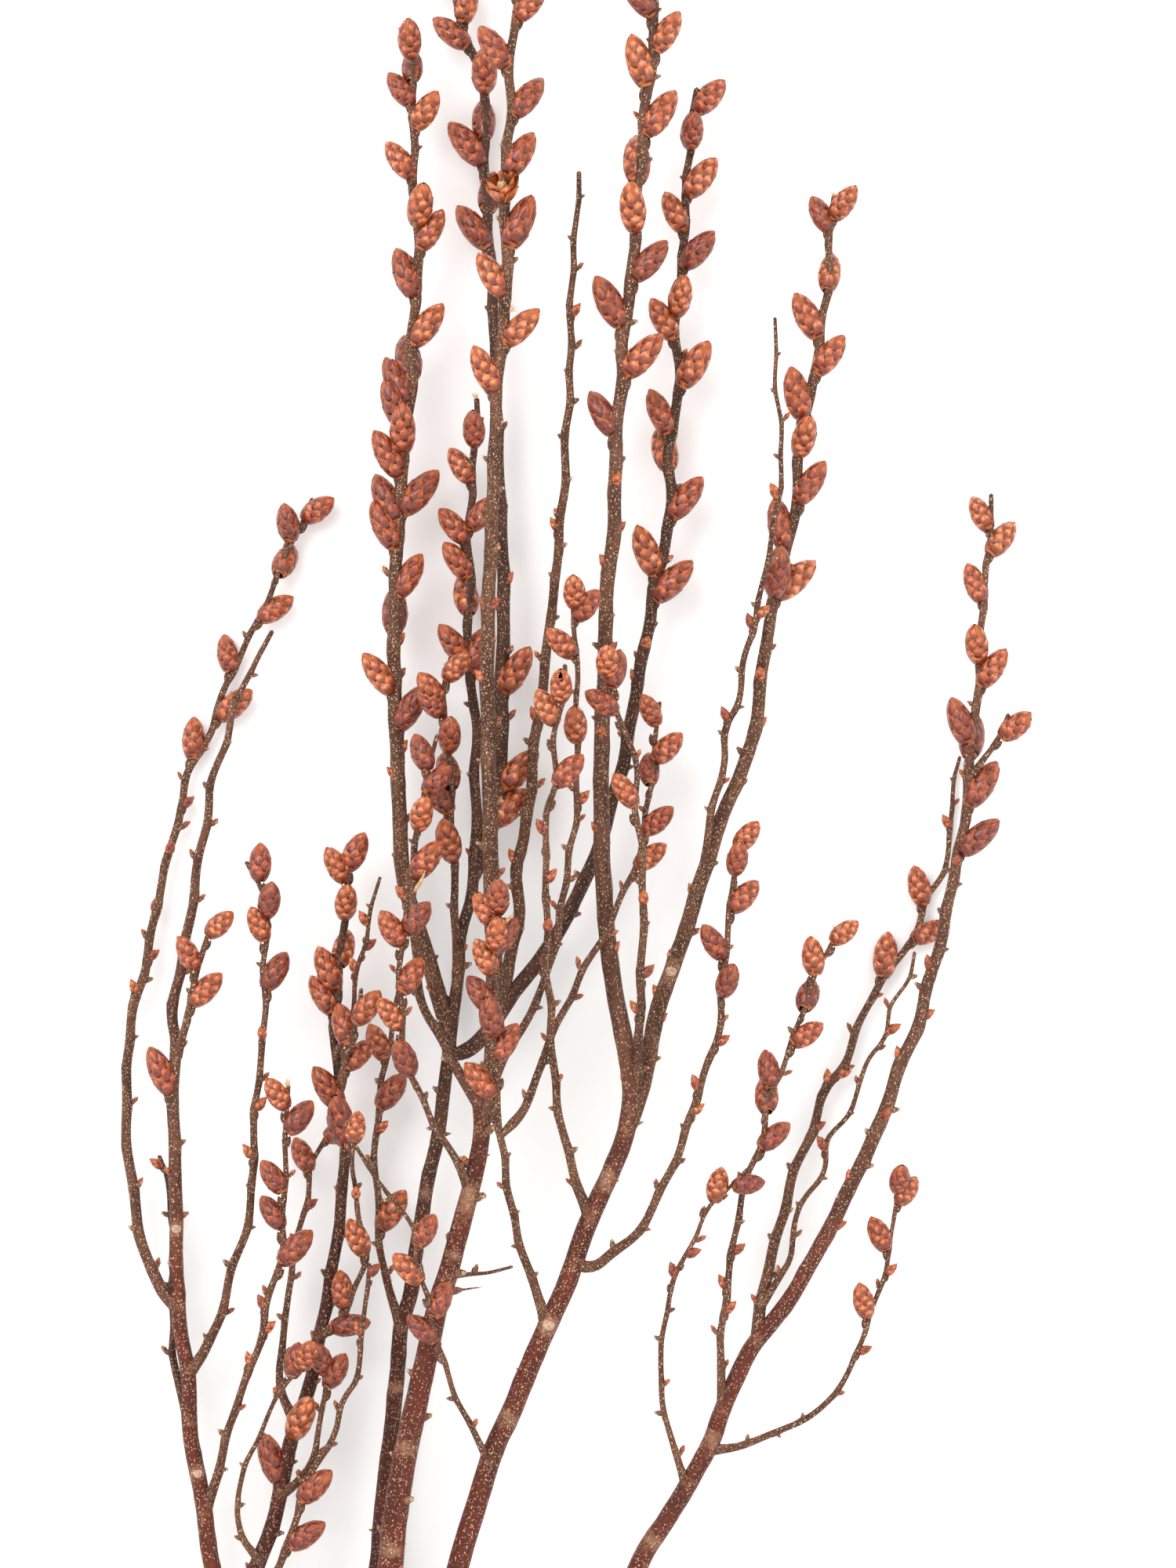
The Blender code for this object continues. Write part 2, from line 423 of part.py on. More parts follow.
def world(point):
    return Vector(((point[0] - CENTRE[0]) * MM, (point[1] - CENTRE[1]) * MM, point[2] * MM))


def point_on_solid(branch, at):
    """Where the solid's axis, which is straight between rings, passes the sample."""
    rings = rings_of(branch)
    return world([np.interp(at, rings, branch["points"][rings, axis]) for axis in range(3)])


def tube(name, branch, rings, grow, sides, collection):
    """A closed tube mesh along some of the branch's samples, thicker than it by grow."""
    data = bpy.data.curves.new(name, "CURVE")
    data.dimensions = "3D"
    data.bevel_depth = MM
    data.bevel_resolution = (sides - 4) // 2
    data.use_fill_caps = True
    spline = data.splines.new("POLY")
    spline.points.add(len(rings) - 1)
    for point, at in zip(spline.points, rings):
        point.co = (*world(branch["points"][at]), 1)
        point.radius = branch["radius"][at] + grow
    guide = bpy.data.objects.new(name + "_route", data)
    collection.objects.link(guide)
    graph = bpy.context.evaluated_depsgraph_get()
    mesh = bpy.data.meshes.new_from_object(guide.evaluated_get(graph))
    mesh.name = name
    bpy.data.objects.remove(guide)
    bpy.data.curves.remove(data)
    weld(mesh)
    obj = bpy.data.objects.new(name, mesh)
    collection.objects.link(obj)
    return obj


def weld(mesh):
    shape = bmesh.new()
    shape.from_mesh(mesh)
    bmesh.ops.remove_doubles(shape, verts=shape.verts, dist=WELD)
    bmesh.ops.recalc_face_normals(shape, faces=shape.faces)
    shape.to_mesh(mesh)
    shape.free()


def catkin_mesh():
    """A catkin one long and one wide along +Z: rings turned by half a side, so that its facets
    make overlapping scales."""
    shape = bmesh.new()
    bmesh.ops.create_uvsphere(shape, u_segments=CATKIN_SIDES, v_segments=len(CATKIN_RINGS) + 1,
                              radius=1)
    heights_found = sorted({round(vert.co.z, 4) for vert in shape.verts})
    for vert in shape.verts:
        ring = heights_found.index(round(vert.co.z, 4)) - 1
        if ring in range(len(CATKIN_RINGS)):
            share, width = CATKIN_RINGS[ring]
            turn = math.atan2(vert.co.y, vert.co.x) + ring * math.pi / CATKIN_SIDES
            vert.co = (math.cos(turn) * width / 2, math.sin(turn) * width / 2, share)
        else:
            vert.co = (0, 0, 0 if ring < 0 else 1)
    bmesh.ops.triangulate(shape, faces=shape.faces, quad_method="SHORT_EDGE")
    bmesh.ops.recalc_face_normals(shape, faces=shape.faces)
    mesh = bpy.data.meshes.new("catkin")
    shape.to_mesh(mesh)
    shape.free()
    return mesh


def bud_mesh():
    """A side bud one long and one wide, with its pointed tip up."""
    shape = bmesh.new()
    bmesh.ops.create_cone(shape, cap_ends=True, segments=BUD_SIDES, radius1=0.5, radius2=0,
                          depth=1, matrix=Matrix.Translation((0, 0, 0.5)))
    mesh = bpy.data.meshes.new("bud")
    shape.to_mesh(mesh)
    shape.free()
    return mesh


def growth_object(branch, growth, meshes, collection):
    kind = "catkin" if growth["catkin"] else "bud"
    length, width = growth["length"] * MM, growth["width"] * MM
    obj = bpy.data.objects.new(kind, meshes[kind].copy())
    turn = Vector(growth["axis"]).to_track_quat("Z", "Y").to_matrix().to_4x4()
    obj.data.transform(
        Matrix.Translation(point_on_solid(branch, growth["at"])) @ turn
        @ Matrix.Rotation(math.radians(growth["spin"]), 4, "Z")
        @ Matrix.Diagonal((width, width, length, 1)))
    collection.objects.link(obj)
    return obj


def bake(obj):
    """Applies the object's modifiers and keeps its one outer skin."""
    graph = bpy.context.evaluated_depsgraph_get()
    old = obj.data
    mesh = bpy.data.meshes.new_from_object(obj.evaluated_get(graph))
    obj.modifiers.clear()
    obj.data = mesh
    bpy.data.meshes.remove(old)
    mesh.name = obj.name
    shape = bmesh.new()
    shape.from_mesh(mesh)
    skins = []
    left = set(shape.verts)
    while left:
        skin = {left.pop()}
        front = list(skin)
        while front:
            for edge in front.pop().link_edges:
                for vert in edge.verts:
                    if vert in left:
                        left.discard(vert)
                        skin.add(vert)
                        front.append(vert)
        skins.append(skin)
    outer = max(skins, key=len)
    loose = [vert for skin in skins if skin is not outer for vert in skin]
    bmesh.ops.delete(shape, geom=loose, context="VERTS")
    shape.to_mesh(mesh)
    shape.free()


def combine(obj, others, operation, solver="EXACT"):
    """One Boolean with a collection of objects, applied, and the objects then removed."""
    group = bpy.data.collections.new("pieces")
    for other in others:
        group.objects.link(other)
    modifier = obj.modifiers.new(operation.lower(), "BOOLEAN")
    modifier.operation = operation
    modifier.operand_type = "COLLECTION"
    modifier.collection = group
    modifier.solver = solver
    bake(obj)
    for other in others:
        bpy.data.objects.remove(other)
    bpy.data.collections.remove(group)


def foot_cutters(branch, built, collection):
    """Stems that this branch's foot meets, thicker by the gap, to cut its foot to their shape."""
    foot = branch["points"][branch["run"] < ROOT_FREE + STEP]
    cutters = []
    for other in built:
        apart = np.linalg.norm(other["points"][:, None] - foot[None], axis=2).min(axis=1)
        near = np.flatnonzero(apart < other["radius"] + branch["radius"][0] + 2 * GAP)
        if len(near) == 0:
            continue
        rings = rings_of(other)
        first = max(0, np.searchsorted(rings, near[0]) - 2)
        last = min(len(rings), np.searchsorted(rings, near[-1]) + 3)
        cutters.append(tube("foot_cutter", other, rings[first:last], GAP, CUTTER_SIDES, collection))
    return cutters


def rest_slab(collection):
    bpy.ops.mesh.primitive_cube_add(size=1, location=(0, 0, -SLAB[2] / 2))
    slab = bpy.context.object
    slab.name = "rest_slab"
    slab.data.transform(Matrix.Diagonal((*SLAB, 1)))
    for owner in slab.users_collection:
        owner.objects.unlink(slab)
    collection.objects.link(slab)
    slab.hide_render = True
    slab.display_type = "WIRE"
    return slab


def material(name, colour, roughness):
    made = bpy.data.materials.new(name)
    made.use_nodes = True
    shader = made.node_tree.nodes["Principled BSDF"]
    shader.inputs["Base Color"].default_value = (*colour, 1)
    shader.inputs["Roughness"].default_value = roughness
    return made


def main():
    for obj in list(bpy.data.objects):
        bpy.data.objects.remove(obj)
    parts = bpy.data.collections.new("bog_myrtle_branch")
    helpers = bpy.data.collections.new("cutters")
    for collection in (parts, helpers):
        bpy.context.scene.collection.children.link(collection)
    finishes = {
        "red": material("red_bark", BARK_RED, 0.42),
        "brown": material("brown_bark", BARK_BROWN, 0.6),
        "dark": material("dark_bark", BARK_DARK, 0.6),
    }
    meshes = {"catkin": catkin_mesh(), "bud": bud_mesh()}
    branches = read_branches()
    settle(branches)
    for order, branch in enumerate(branches):
        name = branch["name"]
        sides = THICK_SIDES if branch["radius"][0] > THICK else THIN_SIDES
        obj = tube(name, branch, rings_of(branch), 0.0, sides, parts)
        grown = [growth_object(branch, growth, meshes, helpers) for growth in branch["growths"]]
        if grown:
            combine(obj, grown, "UNION")
        cutters = foot_cutters(branch, branches[:order], helpers)
        if cutters:
            combine(obj, cutters, "DIFFERENCE")
        if min(vert.co.z for vert in obj.data.vertices) < 0:
            combine(obj, [rest_slab(helpers)], "DIFFERENCE")
        colour = "red" if name in RED_STEMS else "dark" if name in DARK_STEMS else "brown"
        obj.data.materials.clear()
        obj.data.materials.append(finishes[colour])
    for mesh in meshes.values():
        bpy.data.meshes.remove(mesh)


main()
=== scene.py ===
import json
import math
import random

import bpy
import numpy as np
from mathutils import Matrix, Vector, noise

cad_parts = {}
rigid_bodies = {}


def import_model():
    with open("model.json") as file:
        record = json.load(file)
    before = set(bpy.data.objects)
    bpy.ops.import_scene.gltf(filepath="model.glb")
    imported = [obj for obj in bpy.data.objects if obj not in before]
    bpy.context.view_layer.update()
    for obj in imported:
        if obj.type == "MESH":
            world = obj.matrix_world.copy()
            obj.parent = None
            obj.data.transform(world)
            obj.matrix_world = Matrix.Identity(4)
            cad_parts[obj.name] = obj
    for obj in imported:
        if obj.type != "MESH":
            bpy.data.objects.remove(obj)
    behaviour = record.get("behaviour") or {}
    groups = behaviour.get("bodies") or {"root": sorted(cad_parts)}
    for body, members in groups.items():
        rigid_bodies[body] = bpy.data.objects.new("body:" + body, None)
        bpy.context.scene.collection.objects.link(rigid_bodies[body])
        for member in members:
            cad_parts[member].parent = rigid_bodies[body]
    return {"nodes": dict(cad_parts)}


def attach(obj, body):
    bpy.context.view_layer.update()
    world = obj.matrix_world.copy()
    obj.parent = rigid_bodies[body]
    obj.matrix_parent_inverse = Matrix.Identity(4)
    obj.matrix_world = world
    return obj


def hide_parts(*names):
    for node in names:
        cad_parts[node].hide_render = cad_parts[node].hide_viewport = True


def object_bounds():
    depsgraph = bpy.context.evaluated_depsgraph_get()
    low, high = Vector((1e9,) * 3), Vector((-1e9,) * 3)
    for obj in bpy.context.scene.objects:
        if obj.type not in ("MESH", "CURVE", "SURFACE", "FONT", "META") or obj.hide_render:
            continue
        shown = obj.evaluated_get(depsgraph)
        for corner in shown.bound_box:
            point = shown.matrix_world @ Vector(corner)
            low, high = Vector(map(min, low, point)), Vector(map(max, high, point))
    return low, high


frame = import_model()
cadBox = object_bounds()
print("frame loaded:", len(frame["nodes"]), "twigs")

mm = 0.001
for old in [obj for obj in bpy.data.objects if obj.type in {"LIGHT", "CAMERA"}]:
    bpy.data.objects.remove(old)

# the branch
# All lengths of the plant are in millimetres. A route's first point lies on the middle of the stem
# that the twig leaves. In growth a capital is a catkin and a small letter a side bud, to the left,
# right, front or back, and the number is how far up the branch it sits.
twigs = {
    "main_stem": dict(leaves=None, foot=3.0, tip=1.3, height=20.0,
        route=((-21, -113), (-23.5, -98), (-26, -80), (-29, -60), (-32, -38), (-34, -18), (-32.8, 0),
               (-31.5, 12), (-29.6, 22), (-27.4, 32), (-25, 43), (-22.6, 51), (-20.2, 60), (-18.2, 68),
               (-17.6, 74), (-18.2, 79.5)),
        growth=""),
    "left_limb": dict(leaves="main_stem", foot=1.9, tip=0.4, height=11.0,
        route=((-25.7, -82), (-34, -72), (-42.5, -58), (-50, -42), (-56.6, -24), (-62.5, 0), (-64, 11),
               (-66, 21), (-66.4, 31), (-67.9, 41), (-68.4, 52), (-68.5, 64), (-68.9, 76), (-68.6, 87),
               (-69, 92), (-67.6, 100), (-66, 108), (-65.1, 115), (-63.3, 124), (-62.3, 131),
               (-60.2, 137), (-58.6, 143), (-55.8, 149.5), (-52.5, 155.3)),
        growth="L79"),
    "right_centre_limb": dict(leaves="main_stem", foot=1.95, tip=0.6, height=18.0,
        route=((-31.9, -39), (-27.2, -30), (-25.2, -20), (-23.6, -9.5), (-21.6, 0), (-18.6, 10),
               (-15.8, 19), (-12.2, 27), (-9, 35), (-6, 41.5), (-3.2, 48), (-1, 54.5), (1.4, 60.5),
               (4, 66), (6.2, 72), (7.2, 79), (6.4, 85), (4.9, 93), (3.6, 101), (2.8, 110), (2.3, 120),
               (2.2, 131), (2.4, 141), (2.9, 151), (3, 161), (4.2, 171), (4.5, 181), (4.8, 190),
               (5.8, 198), (5.7, 204), (6.9, 211), (7.7, 219), (7.9, 227), (9, 235), (9.5, 243),
               (10.9, 251), (10.8, 259), (11.8, 268), (12.6, 279)),
        growth="l79 r102 l122 f137 r151 l166 r172 f179 L188 R197 L206 R213 F222 B229 R237 L245 R252 "
               "L257 R263 L268 R272 F274"),
    "right_limb": dict(leaves="main_stem", foot=2.1, tip=0.4, height=10.0,
        route=((-24.3, -93), (-16.5, -82), (-11, -67), (-6.6, -51), (-2.4, -35), (2.2, -17), (8.4, 0),
               (13, 7.5), (17.2, 14.5), (20.2, 20), (22.2, 25.5), (24.6, 31), (27, 36), (31, 41),
               (34.6, 46), (38.2, 52.5), (41.4, 58.5), (44, 64), (47.4, 71), (49.8, 77), (51.8, 83),
               (54.9, 90), (56.6, 97), (58.8, 104.5), (60.2, 112), (61.9, 120), (63.1, 128),
               (63.5, 136), (64.8, 144), (65, 152), (65.6, 160), (66.5, 168), (67, 178)),
        growth="r57 l63 f75 l83 r91 l98 f116 R118 R126 L137 B134 R146 F151 L161 R168 L172"),
    "back_limb": dict(leaves="main_stem", foot=1.7, tip=0.45, height=8.0,
        route=((-28.2, -65), (-35.6, -54), (-39, -40), (-39.4, -26), (-37.4, -11), (-35, 0),
               (-34.2, 10), (-33, 20), (-31.9, 30), (-31.2, 39), (-29.6, 45), (-28.6, 52), (-27.2, 61),
               (-25.3, 70), (-24, 78), (-23.2, 86), (-21.9, 95), (-21.2, 104), (-19.4, 112),
               (-18.6, 122), (-18.8, 132), (-18.6, 141), (-20, 150), (-19.8, 158), (-19.6, 165),
               (-20, 171), (-19.4, 178), (-18.8, 186), (-18.5, 194)),
        growth="L151 R149 L164 B159 R172 L171 L180 F187"),
    "low_limb": dict(leaves="left_limb", foot=1.4, tip=0.45, height=13.0,
        route=((-59.7, -13), (-57, -5), (-55, 0), (-51.8, 9), (-49.6, 20), (-46.6, 29), (-44.4, 39),
               (-42.4, 50), (-41, 60), (-40.4, 70), (-41.2, 79), (-42.1, 88), (-41.5, 97), (-40.6, 106),
               (-40, 112), (-40.3, 117.5)),
        growth="L14 F22 L75 F70 L92 L96 B100 F107 L114 R115"),
    "left_outer_twig": dict(leaves="left_limb", foot=0.95, tip=0.35, height=1.5,
        route=((-68.1, 43), (-71, 46), (-74, 53), (-75.6, 62), (-76.8, 72), (-76.6, 84), (-75.8, 92),
               (-73.6, 100), (-72.2, 108), (-69.9, 118), (-67.6, 127), (-66.2, 133), (-62.4, 139.5),
               (-60.6, 146), (-57.6, 152), (-54.6, 158), (-51.6, 165), (-49, 171), (-46, 177.5)),
        growth="l94 r101 b108 f118 r126 L133 R140 L149 R157 B164 L170 R174"),
    "left_inner_twig": dict(leaves="left_limb", foot=0.8, tip=0.35, height=18.0,
        route=((-66.4, 32), (-63.5, 36), (-61, 42), (-59.2, 49), (-56.8, 56), (-55.6, 64), (-55.5, 71),
               (-54.8, 80), (-53.6, 90), (-53.7, 99), (-53.2, 107), (-53.6, 112), (-56.6, 117)),
        growth="l68 r75 f88 R95 L103 F108 R113"),
    "left_back_twig": dict(leaves="left_limb", foot=0.7, tip=0.35, height=4.0,
        route=((-66.3, 24), (-68.6, 32), (-69.2, 42), (-69.1, 54), (-69.8, 62), (-71.4, 68)),
        growth="l66"),
    "left_side_spray": dict(leaves="left_limb", foot=0.65, tip=0.35, height=17.0,
        route=((-68.6, 84), (-67, 90), (-65.6, 95), (-64.4, 101), (-62.6, 106.5)),
        growth="R94 L100 R104"),
    "left_low_twig": dict(leaves="left_limb", foot=0.75, tip=0.35, height=19.0,
        route=((-63.7, 9), (-61.2, 17), (-58.4, 27), (-54.8, 36), (-53.4, 43), (-51, 51), (-50.5, 58),
               (-50.1, 68), (-49.6, 80)),
        growth="l34 r39 l43 R50 L56 L63 R73 L76"),
    "low_hook_twig": dict(leaves="low_limb", foot=0.5, tip=0.3, height=17.0,
        route=((-54.6, 1), (-57, 4.5), (-58.4, 10), (-57, 16), (-54.6, 22), (-51.6, 28), (-48.8, 32),
               (-46.6, 34.5)),
        growth="L31 F33"),
    "low_right_twig": dict(leaves="low_limb", foot=0.65, tip=0.35, height=19.0,
        route=((-57.3, -5.9), (-54, -3.2), (-51, 0.6), (-48.8, 7), (-47.5, 12.5), (-44.6, 18),
               (-41.8, 23), (-40.4, 28), (-38.4, 32), (-37.3, 39), (-36.9, 45), (-36.2, 50.5)),
        growth="R4 R11 l38 r48"),
    "low_middle_twig": dict(leaves="low_limb", foot=0.6, tip=0.35, height=15.0,
        route=((-51.1, 12), (-48, 14), (-46, 17.5), (-44.7, 23), (-43.4, 29), (-43.6, 34)),
        growth="R29 F31"),
    "low_back_twig": dict(leaves="low_limb", foot=0.65, tip=0.35, height=6.0,
        route=((-48.6, 24), (-50.6, 28.5), (-51.3, 34), (-50.2, 41), (-49.6, 48), (-48, 56),
               (-46.6, 62), (-45.8, 67), (-43.4, 72), (-42, 74.5)),
        growth="r60 L66 R71"),
    "low_bent_twig": dict(leaves="low_limb", foot=0.5, tip=0.35, height=17.0,
        route=((-44.4, 38.5), (-41, 41.5), (-38.3, 47), (-36.9, 52), (-37.8, 58), (-39, 65),
               (-38.6, 71)),
        growth="R40 L43 L51 f61"),
    "low_front_spray": dict(leaves="low_limb", foot=0.6, tip=0.35, height=19.0,
        route=((-41.2, 79), (-40.2, 83.5), (-39.1, 88), (-37.5, 96)),
        growth="R82 L86 R91"),
    "low_thin_twig": dict(leaves="low_limb", foot=0.45, tip=0.3, height=22.0,
        route=((-41.9, 85), (-39.4, 91), (-38.4, 98), (-36.9, 104), (-35.8, 109), (-34.4, 114.5)),
        growth="l99 r102 l106"),
    "back_left_twig": dict(leaves="back_limb", foot=0.65, tip=0.4, height=8.0,
        route=((-31.2, 40), (-33.6, 47), (-34.6, 54), (-35.1, 62), (-35.4, 69), (-34.9, 76),
               (-33.8, 83), (-32.6, 89), (-31.4, 96)),
        growth="R56 r71 R77 L84"),
    "left_tall_twig": dict(leaves="back_limb", foot=1.4, tip=0.45, height=12.0,
        route=((-23, 88), (-25, 95.5), (-27, 102), (-28.6, 107.5), (-30.4, 113), (-31.2, 121),
               (-31.5, 130), (-31.9, 139), (-32.2, 150), (-32.1, 160), (-31.7, 170), (-31, 179),
               (-30.6, 187), (-29.4, 195), (-29.3, 203), (-28.6, 211), (-28, 217), (-28.6, 224),
               (-29, 231), (-28.9, 238), (-29.2, 245), (-29.8, 256.5)),
        growth="l131 r135 R138 L145 r152 B155 R160 L168 R175 L172 L181 F184 L188 L193 B196 R202 L210 "
               "R219 F222 L230 R238 L242 B247 F251"),
    "left_arm_twig": dict(leaves="main_stem", foot=0.85, tip=0.35, height=20.0,
        route=((-18, 77), (-20.8, 81.5), (-23.8, 87), (-26.8, 92), (-28.2, 98), (-28.8, 105),
               (-29.2, 112), (-28.6, 119), (-27.4, 127), (-25, 138)),
        growth="R115 F122 R128 L132"),
    "middle_spray": dict(leaves="back_limb", foot=0.75, tip=0.35, height=14.0,
        route=((-21.7, 97), (-22, 104), (-22.1, 112), (-22.6, 122), (-22.7, 131), (-23.6, 139),
               (-24.2, 145), (-22.8, 151)),
        growth="F117 L125 B129 F135 L141 L144 R147"),
    "front_left_twig": dict(leaves="main_stem", foot=0.6, tip=0.35, height=30.0,
        route=((-19.6, 62.5), (-22.6, 69), (-25.8, 74.5), (-28.4, 80), (-30.4, 85.5), (-30.8, 92),
               (-31, 99), (-30.4, 106), (-29.8, 115)),
        growth="F81 L89 R95 L103 R105 l112"),
    "front_low_twig": dict(leaves="right_centre_limb", foot=0.5, tip=0.3, height=30.0,
        route=((-16.4, 17.2), (-19.6, 23.5), (-22.4, 30), (-24.6, 36.5), (-26.2, 43.5), (-28, 50),
               (-28.8, 56), (-31.6, 61), (-35.6, 65.8), (-38.6, 70.5), (-40, 74.5)),
        growth="L38 R41 L47 R53 R71"),
    "dead_twig": dict(leaves="main_stem", foot=0.35, tip=0.25, height=13.0,
        route=((-23.4, 48.3), (-19.6, 48.5), (-16.4, 48.8), (-12.6, 49.9)),
        growth=""),
    "tall_back_stem": dict(leaves="back_limb", foot=1.25, tip=0.55, height=6.0,
        route=((-19.2, 113.5), (-17, 120), (-15, 128), (-14.4, 137), (-14.4, 147), (-14, 158),
               (-14.2, 168), (-14.8, 180), (-15.2, 192), (-15.6, 204), (-15.9, 213), (-16.6, 222),
               (-17, 230), (-17.4, 236), (-16.8, 242), (-17.8, 247.5), (-20.2, 254), (-22.4, 262),
               (-24.6, 272)),
        growth="R123 R129 R145 r163 L220 B226 L233 B238 F245 L253 R257 L262 R266"),
    "tall_front_stem": dict(leaves="main_stem", foot=1.45, tip=0.6, height=20.0,
        route=((-17.6, 73), (-16, 82), (-15.6, 92), (-15.6, 102), (-16, 112), (-16.2, 124),
               (-16.5, 137), (-16.7, 150), (-16.4, 162), (-15.9, 174), (-15.4, 187), (-14.9, 198),
               (-13.9, 206), (-13.4, 216), (-13.8, 227), (-13.4, 235), (-12.7, 241), (-13, 248),
               (-12, 257), (-10.6, 265), (-9.8, 274)),
        growth="l146 r159 l158 L195 R203 L211 R218 F226 R230 R240 L249 R256 L261 R266"),
    "front_twig": dict(leaves="right_centre_limb", foot=0.75, tip=0.4, height=33.0,
        route=((-7, 41), (-8.8, 46), (-11, 53), (-12.9, 61), (-14, 69), (-14.9, 76), (-15.4, 84),
               (-15.4, 92), (-15.4, 100), (-15, 106), (-14.6, 112.5)),
        growth="L79 R85 F88 L93 L98 R102 F103 L106 F108"),
    "crossing_stem": dict(leaves="back_limb", foot=1.3, tip=0.5, height=8.0,
        route=((-23.3, 85), (-20.5, 85.5), (-17.5, 88), (-14.5, 92), (-11.8, 96), (-8.3, 100.5),
               (-5.4, 104.5), (-2.8, 109.5), (0.2, 115.5), (2.6, 122), (4.2, 128), (6, 134), (7.2, 141),
               (8.7, 149), (10.2, 157), (11.3, 164), (13.1, 171), (13.8, 178), (13.3, 185), (14.4, 191),
               (15.3, 197), (14.5, 204), (15, 211), (15.9, 219), (16.2, 227), (16.9, 235),
               (18.1, 245.5)),
        growth="l147 f153 R160 L165 R174 B182 L187 R195 L204 F207 R216 L222 R227 F235 R242"),
    "middle_tall_twig": dict(leaves="crossing_stem", foot=1.05, tip=0.4, height=12.0,
        route=((-15, 91.3), (-13.6, 97), (-12.6, 103), (-11.4, 109), (-11.9, 116), (-10.6, 121.5),
               (-9.6, 128), (-9.1, 135), (-8.1, 141.5), (-7.1, 149), (-6.4, 157), (-5.3, 164),
               (-4.9, 171), (-4, 178), (-3.7, 187), (-3, 196), (-2.9, 207), (-2.6, 215), (-2, 223),
               (-1.5, 231.5)),
        growth="l117 l140 l171 r208"),
    "slanting_twig": dict(leaves="front_twig", foot=0.7, tip=0.35, height=13.0,
        route=((-14.3, 72), (-10.2, 76.6), (-7.8, 84), (-5.4, 89.5), (-2.8, 95), (0, 100.5), (2.6, 105),
               (5.2, 110.5), (7.6, 115.5), (9.2, 122), (10.2, 129), (11.3, 137), (11.9, 143.5)),
        growth="R116 R121 B129 R133 L140"),
    "middle_thin_twig": dict(leaves="tall_front_stem", foot=0.7, tip=0.35, height=25.0,
        route=((-15.8, 81), (-13.4, 85.5), (-10.8, 89.5), (-8.8, 94), (-6.8, 98.5), (-5.3, 104),
               (-4.2, 111), (-3.1, 118), (-1.9, 125.5), (-1.8, 133), (-2, 141), (-1.6, 147),
               (-2.3, 154), (-1.9, 161)),
        growth="r127 F137 L151 R156 F158"),
    "middle_front_twig": dict(leaves="right_centre_limb", foot=0.75, tip=0.4, height=33.0,
        route=((0.2, 58.5), (-2.2, 65), (-4.1, 72), (-5.3, 79), (-6, 87), (-6.3, 94), (-7, 101),
               (-6.7, 109), (-7.1, 118), (-6.6, 125.5), (-5.4, 131), (-5.5, 138), (-4.2, 144.5),
               (-3.8, 149.5)),
        growth="f106 r113 l121 R130 L139 F144"),
    "red_front_twig": dict(leaves="right_centre_limb", foot=0.8, tip=0.35, height=29.0,
        route=((7.1, 76), (8.3, 84), (8.6, 93), (8.9, 102), (9.1, 111), (9, 118), (7.9, 125), (8, 132),
               (6.2, 138.5), (4.3, 143.5), (2.6, 149.5)),
        growth="l92 r99 f111 L126 L142 R145 F147"),
    "right_tall_twig": dict(leaves="right_centre_limb", foot=1.45, tip=0.5, height=13.0,
        route=((6.6, 73), (9, 80), (10.4, 87), (12, 94), (14.4, 100.5), (16.6, 107), (18.6, 113.5),
               (20.6, 119.5), (22.8, 126), (25.2, 131.5), (27.2, 137), (28.3, 143), (29, 150),
               (30.4, 158), (32, 166), (34, 173), (34.8, 180), (35.2, 188), (37.2, 195), (38, 201),
               (38.9, 207), (40, 214), (40.2, 221), (40.9, 227.5)),
        growth="r90 l94 l111 r139 f147 R160 F161 L168 R176 F184 L190 R197 L204 B212 L221 R224"),
    "right_thin_twig": dict(leaves="right_tall_twig", foot=0.65, tip=0.3, height=22.0,
        route=((18.4, 113), (19.6, 120), (21, 127.5), (22.6, 134), (23, 139.5), (25.2, 145),
               (26, 151.5), (27.8, 157.5), (29.2, 165), (30.6, 172), (31.8, 180), (32, 187), (31, 197),
               (30.9, 207)),
        growth="l140 l155 r158 l177"),
    "right_inner_spray": dict(leaves="right_centre_limb", foot=0.8, tip=0.4, height=22.0,
        route=((-2.2, 50.5), (0.8, 49.8), (4, 52), (8, 55.5), (10.8, 60), (13.4, 65.5), (15.6, 70.5),
               (17.4, 76.5), (19.2, 82), (21.2, 87), (22, 93), (22.4, 99), (23.1, 106), (24, 113),
               (24.5, 121)),
        growth="r75 l80 r87 F95 L101 R108 F115 R119"),
    "right_spur": dict(leaves="right_limb", foot=0.5, tip=0.35, height=14.0,
        route=((63.4, 131), (65.6, 133.8), (68, 137), (69.7, 141.5)),
        growth="R138"),
    "right_middle_twig": dict(leaves="right_limb", foot=0.95, tip=0.3, height=1.0,
        route=((28.2, 37.6), (28.9, 44), (30.4, 51), (32.4, 58), (34.2, 65), (37.2, 72), (39.6, 79),
               (43, 84), (45.6, 91), (48.4, 96.5), (51.6, 100.5), (54.4, 105), (56.4, 110.5), (59, 115),
               (60.4, 120.5), (60.6, 127), (62, 134.5)),
        growth="r73 l79 r82 L97 R104 L110 l123"),
    "right_bent_twig": dict(leaves="right_middle_twig", foot=0.5, tip=0.3, height=12.0,
        route=((28.9, 43.5), (31.4, 47), (33.6, 51), (34, 56), (36, 61), (39.2, 66), (40, 71), (43, 75),
               (45.2, 80), (46.6, 84.5), (49.4, 88.5), (50.4, 93), (53, 97.5), (54.2, 102)),
        growth="l70 r88"),
    "right_red_spray": dict(leaves="right_limb", foot=0.65, tip=0.35, height=17.0,
        route=((22.4, 26), (21.9, 33), (22.5, 42), (23.6, 50), (25, 59), (26.8, 66), (29.2, 72),
               (30, 78), (32.6, 84), (34.6, 89.5), (36.8, 96), (39, 101), (41, 105.5)),
        growth="r42 l46 r52 R70 B75 L79 R87 B93 L98 R103"),
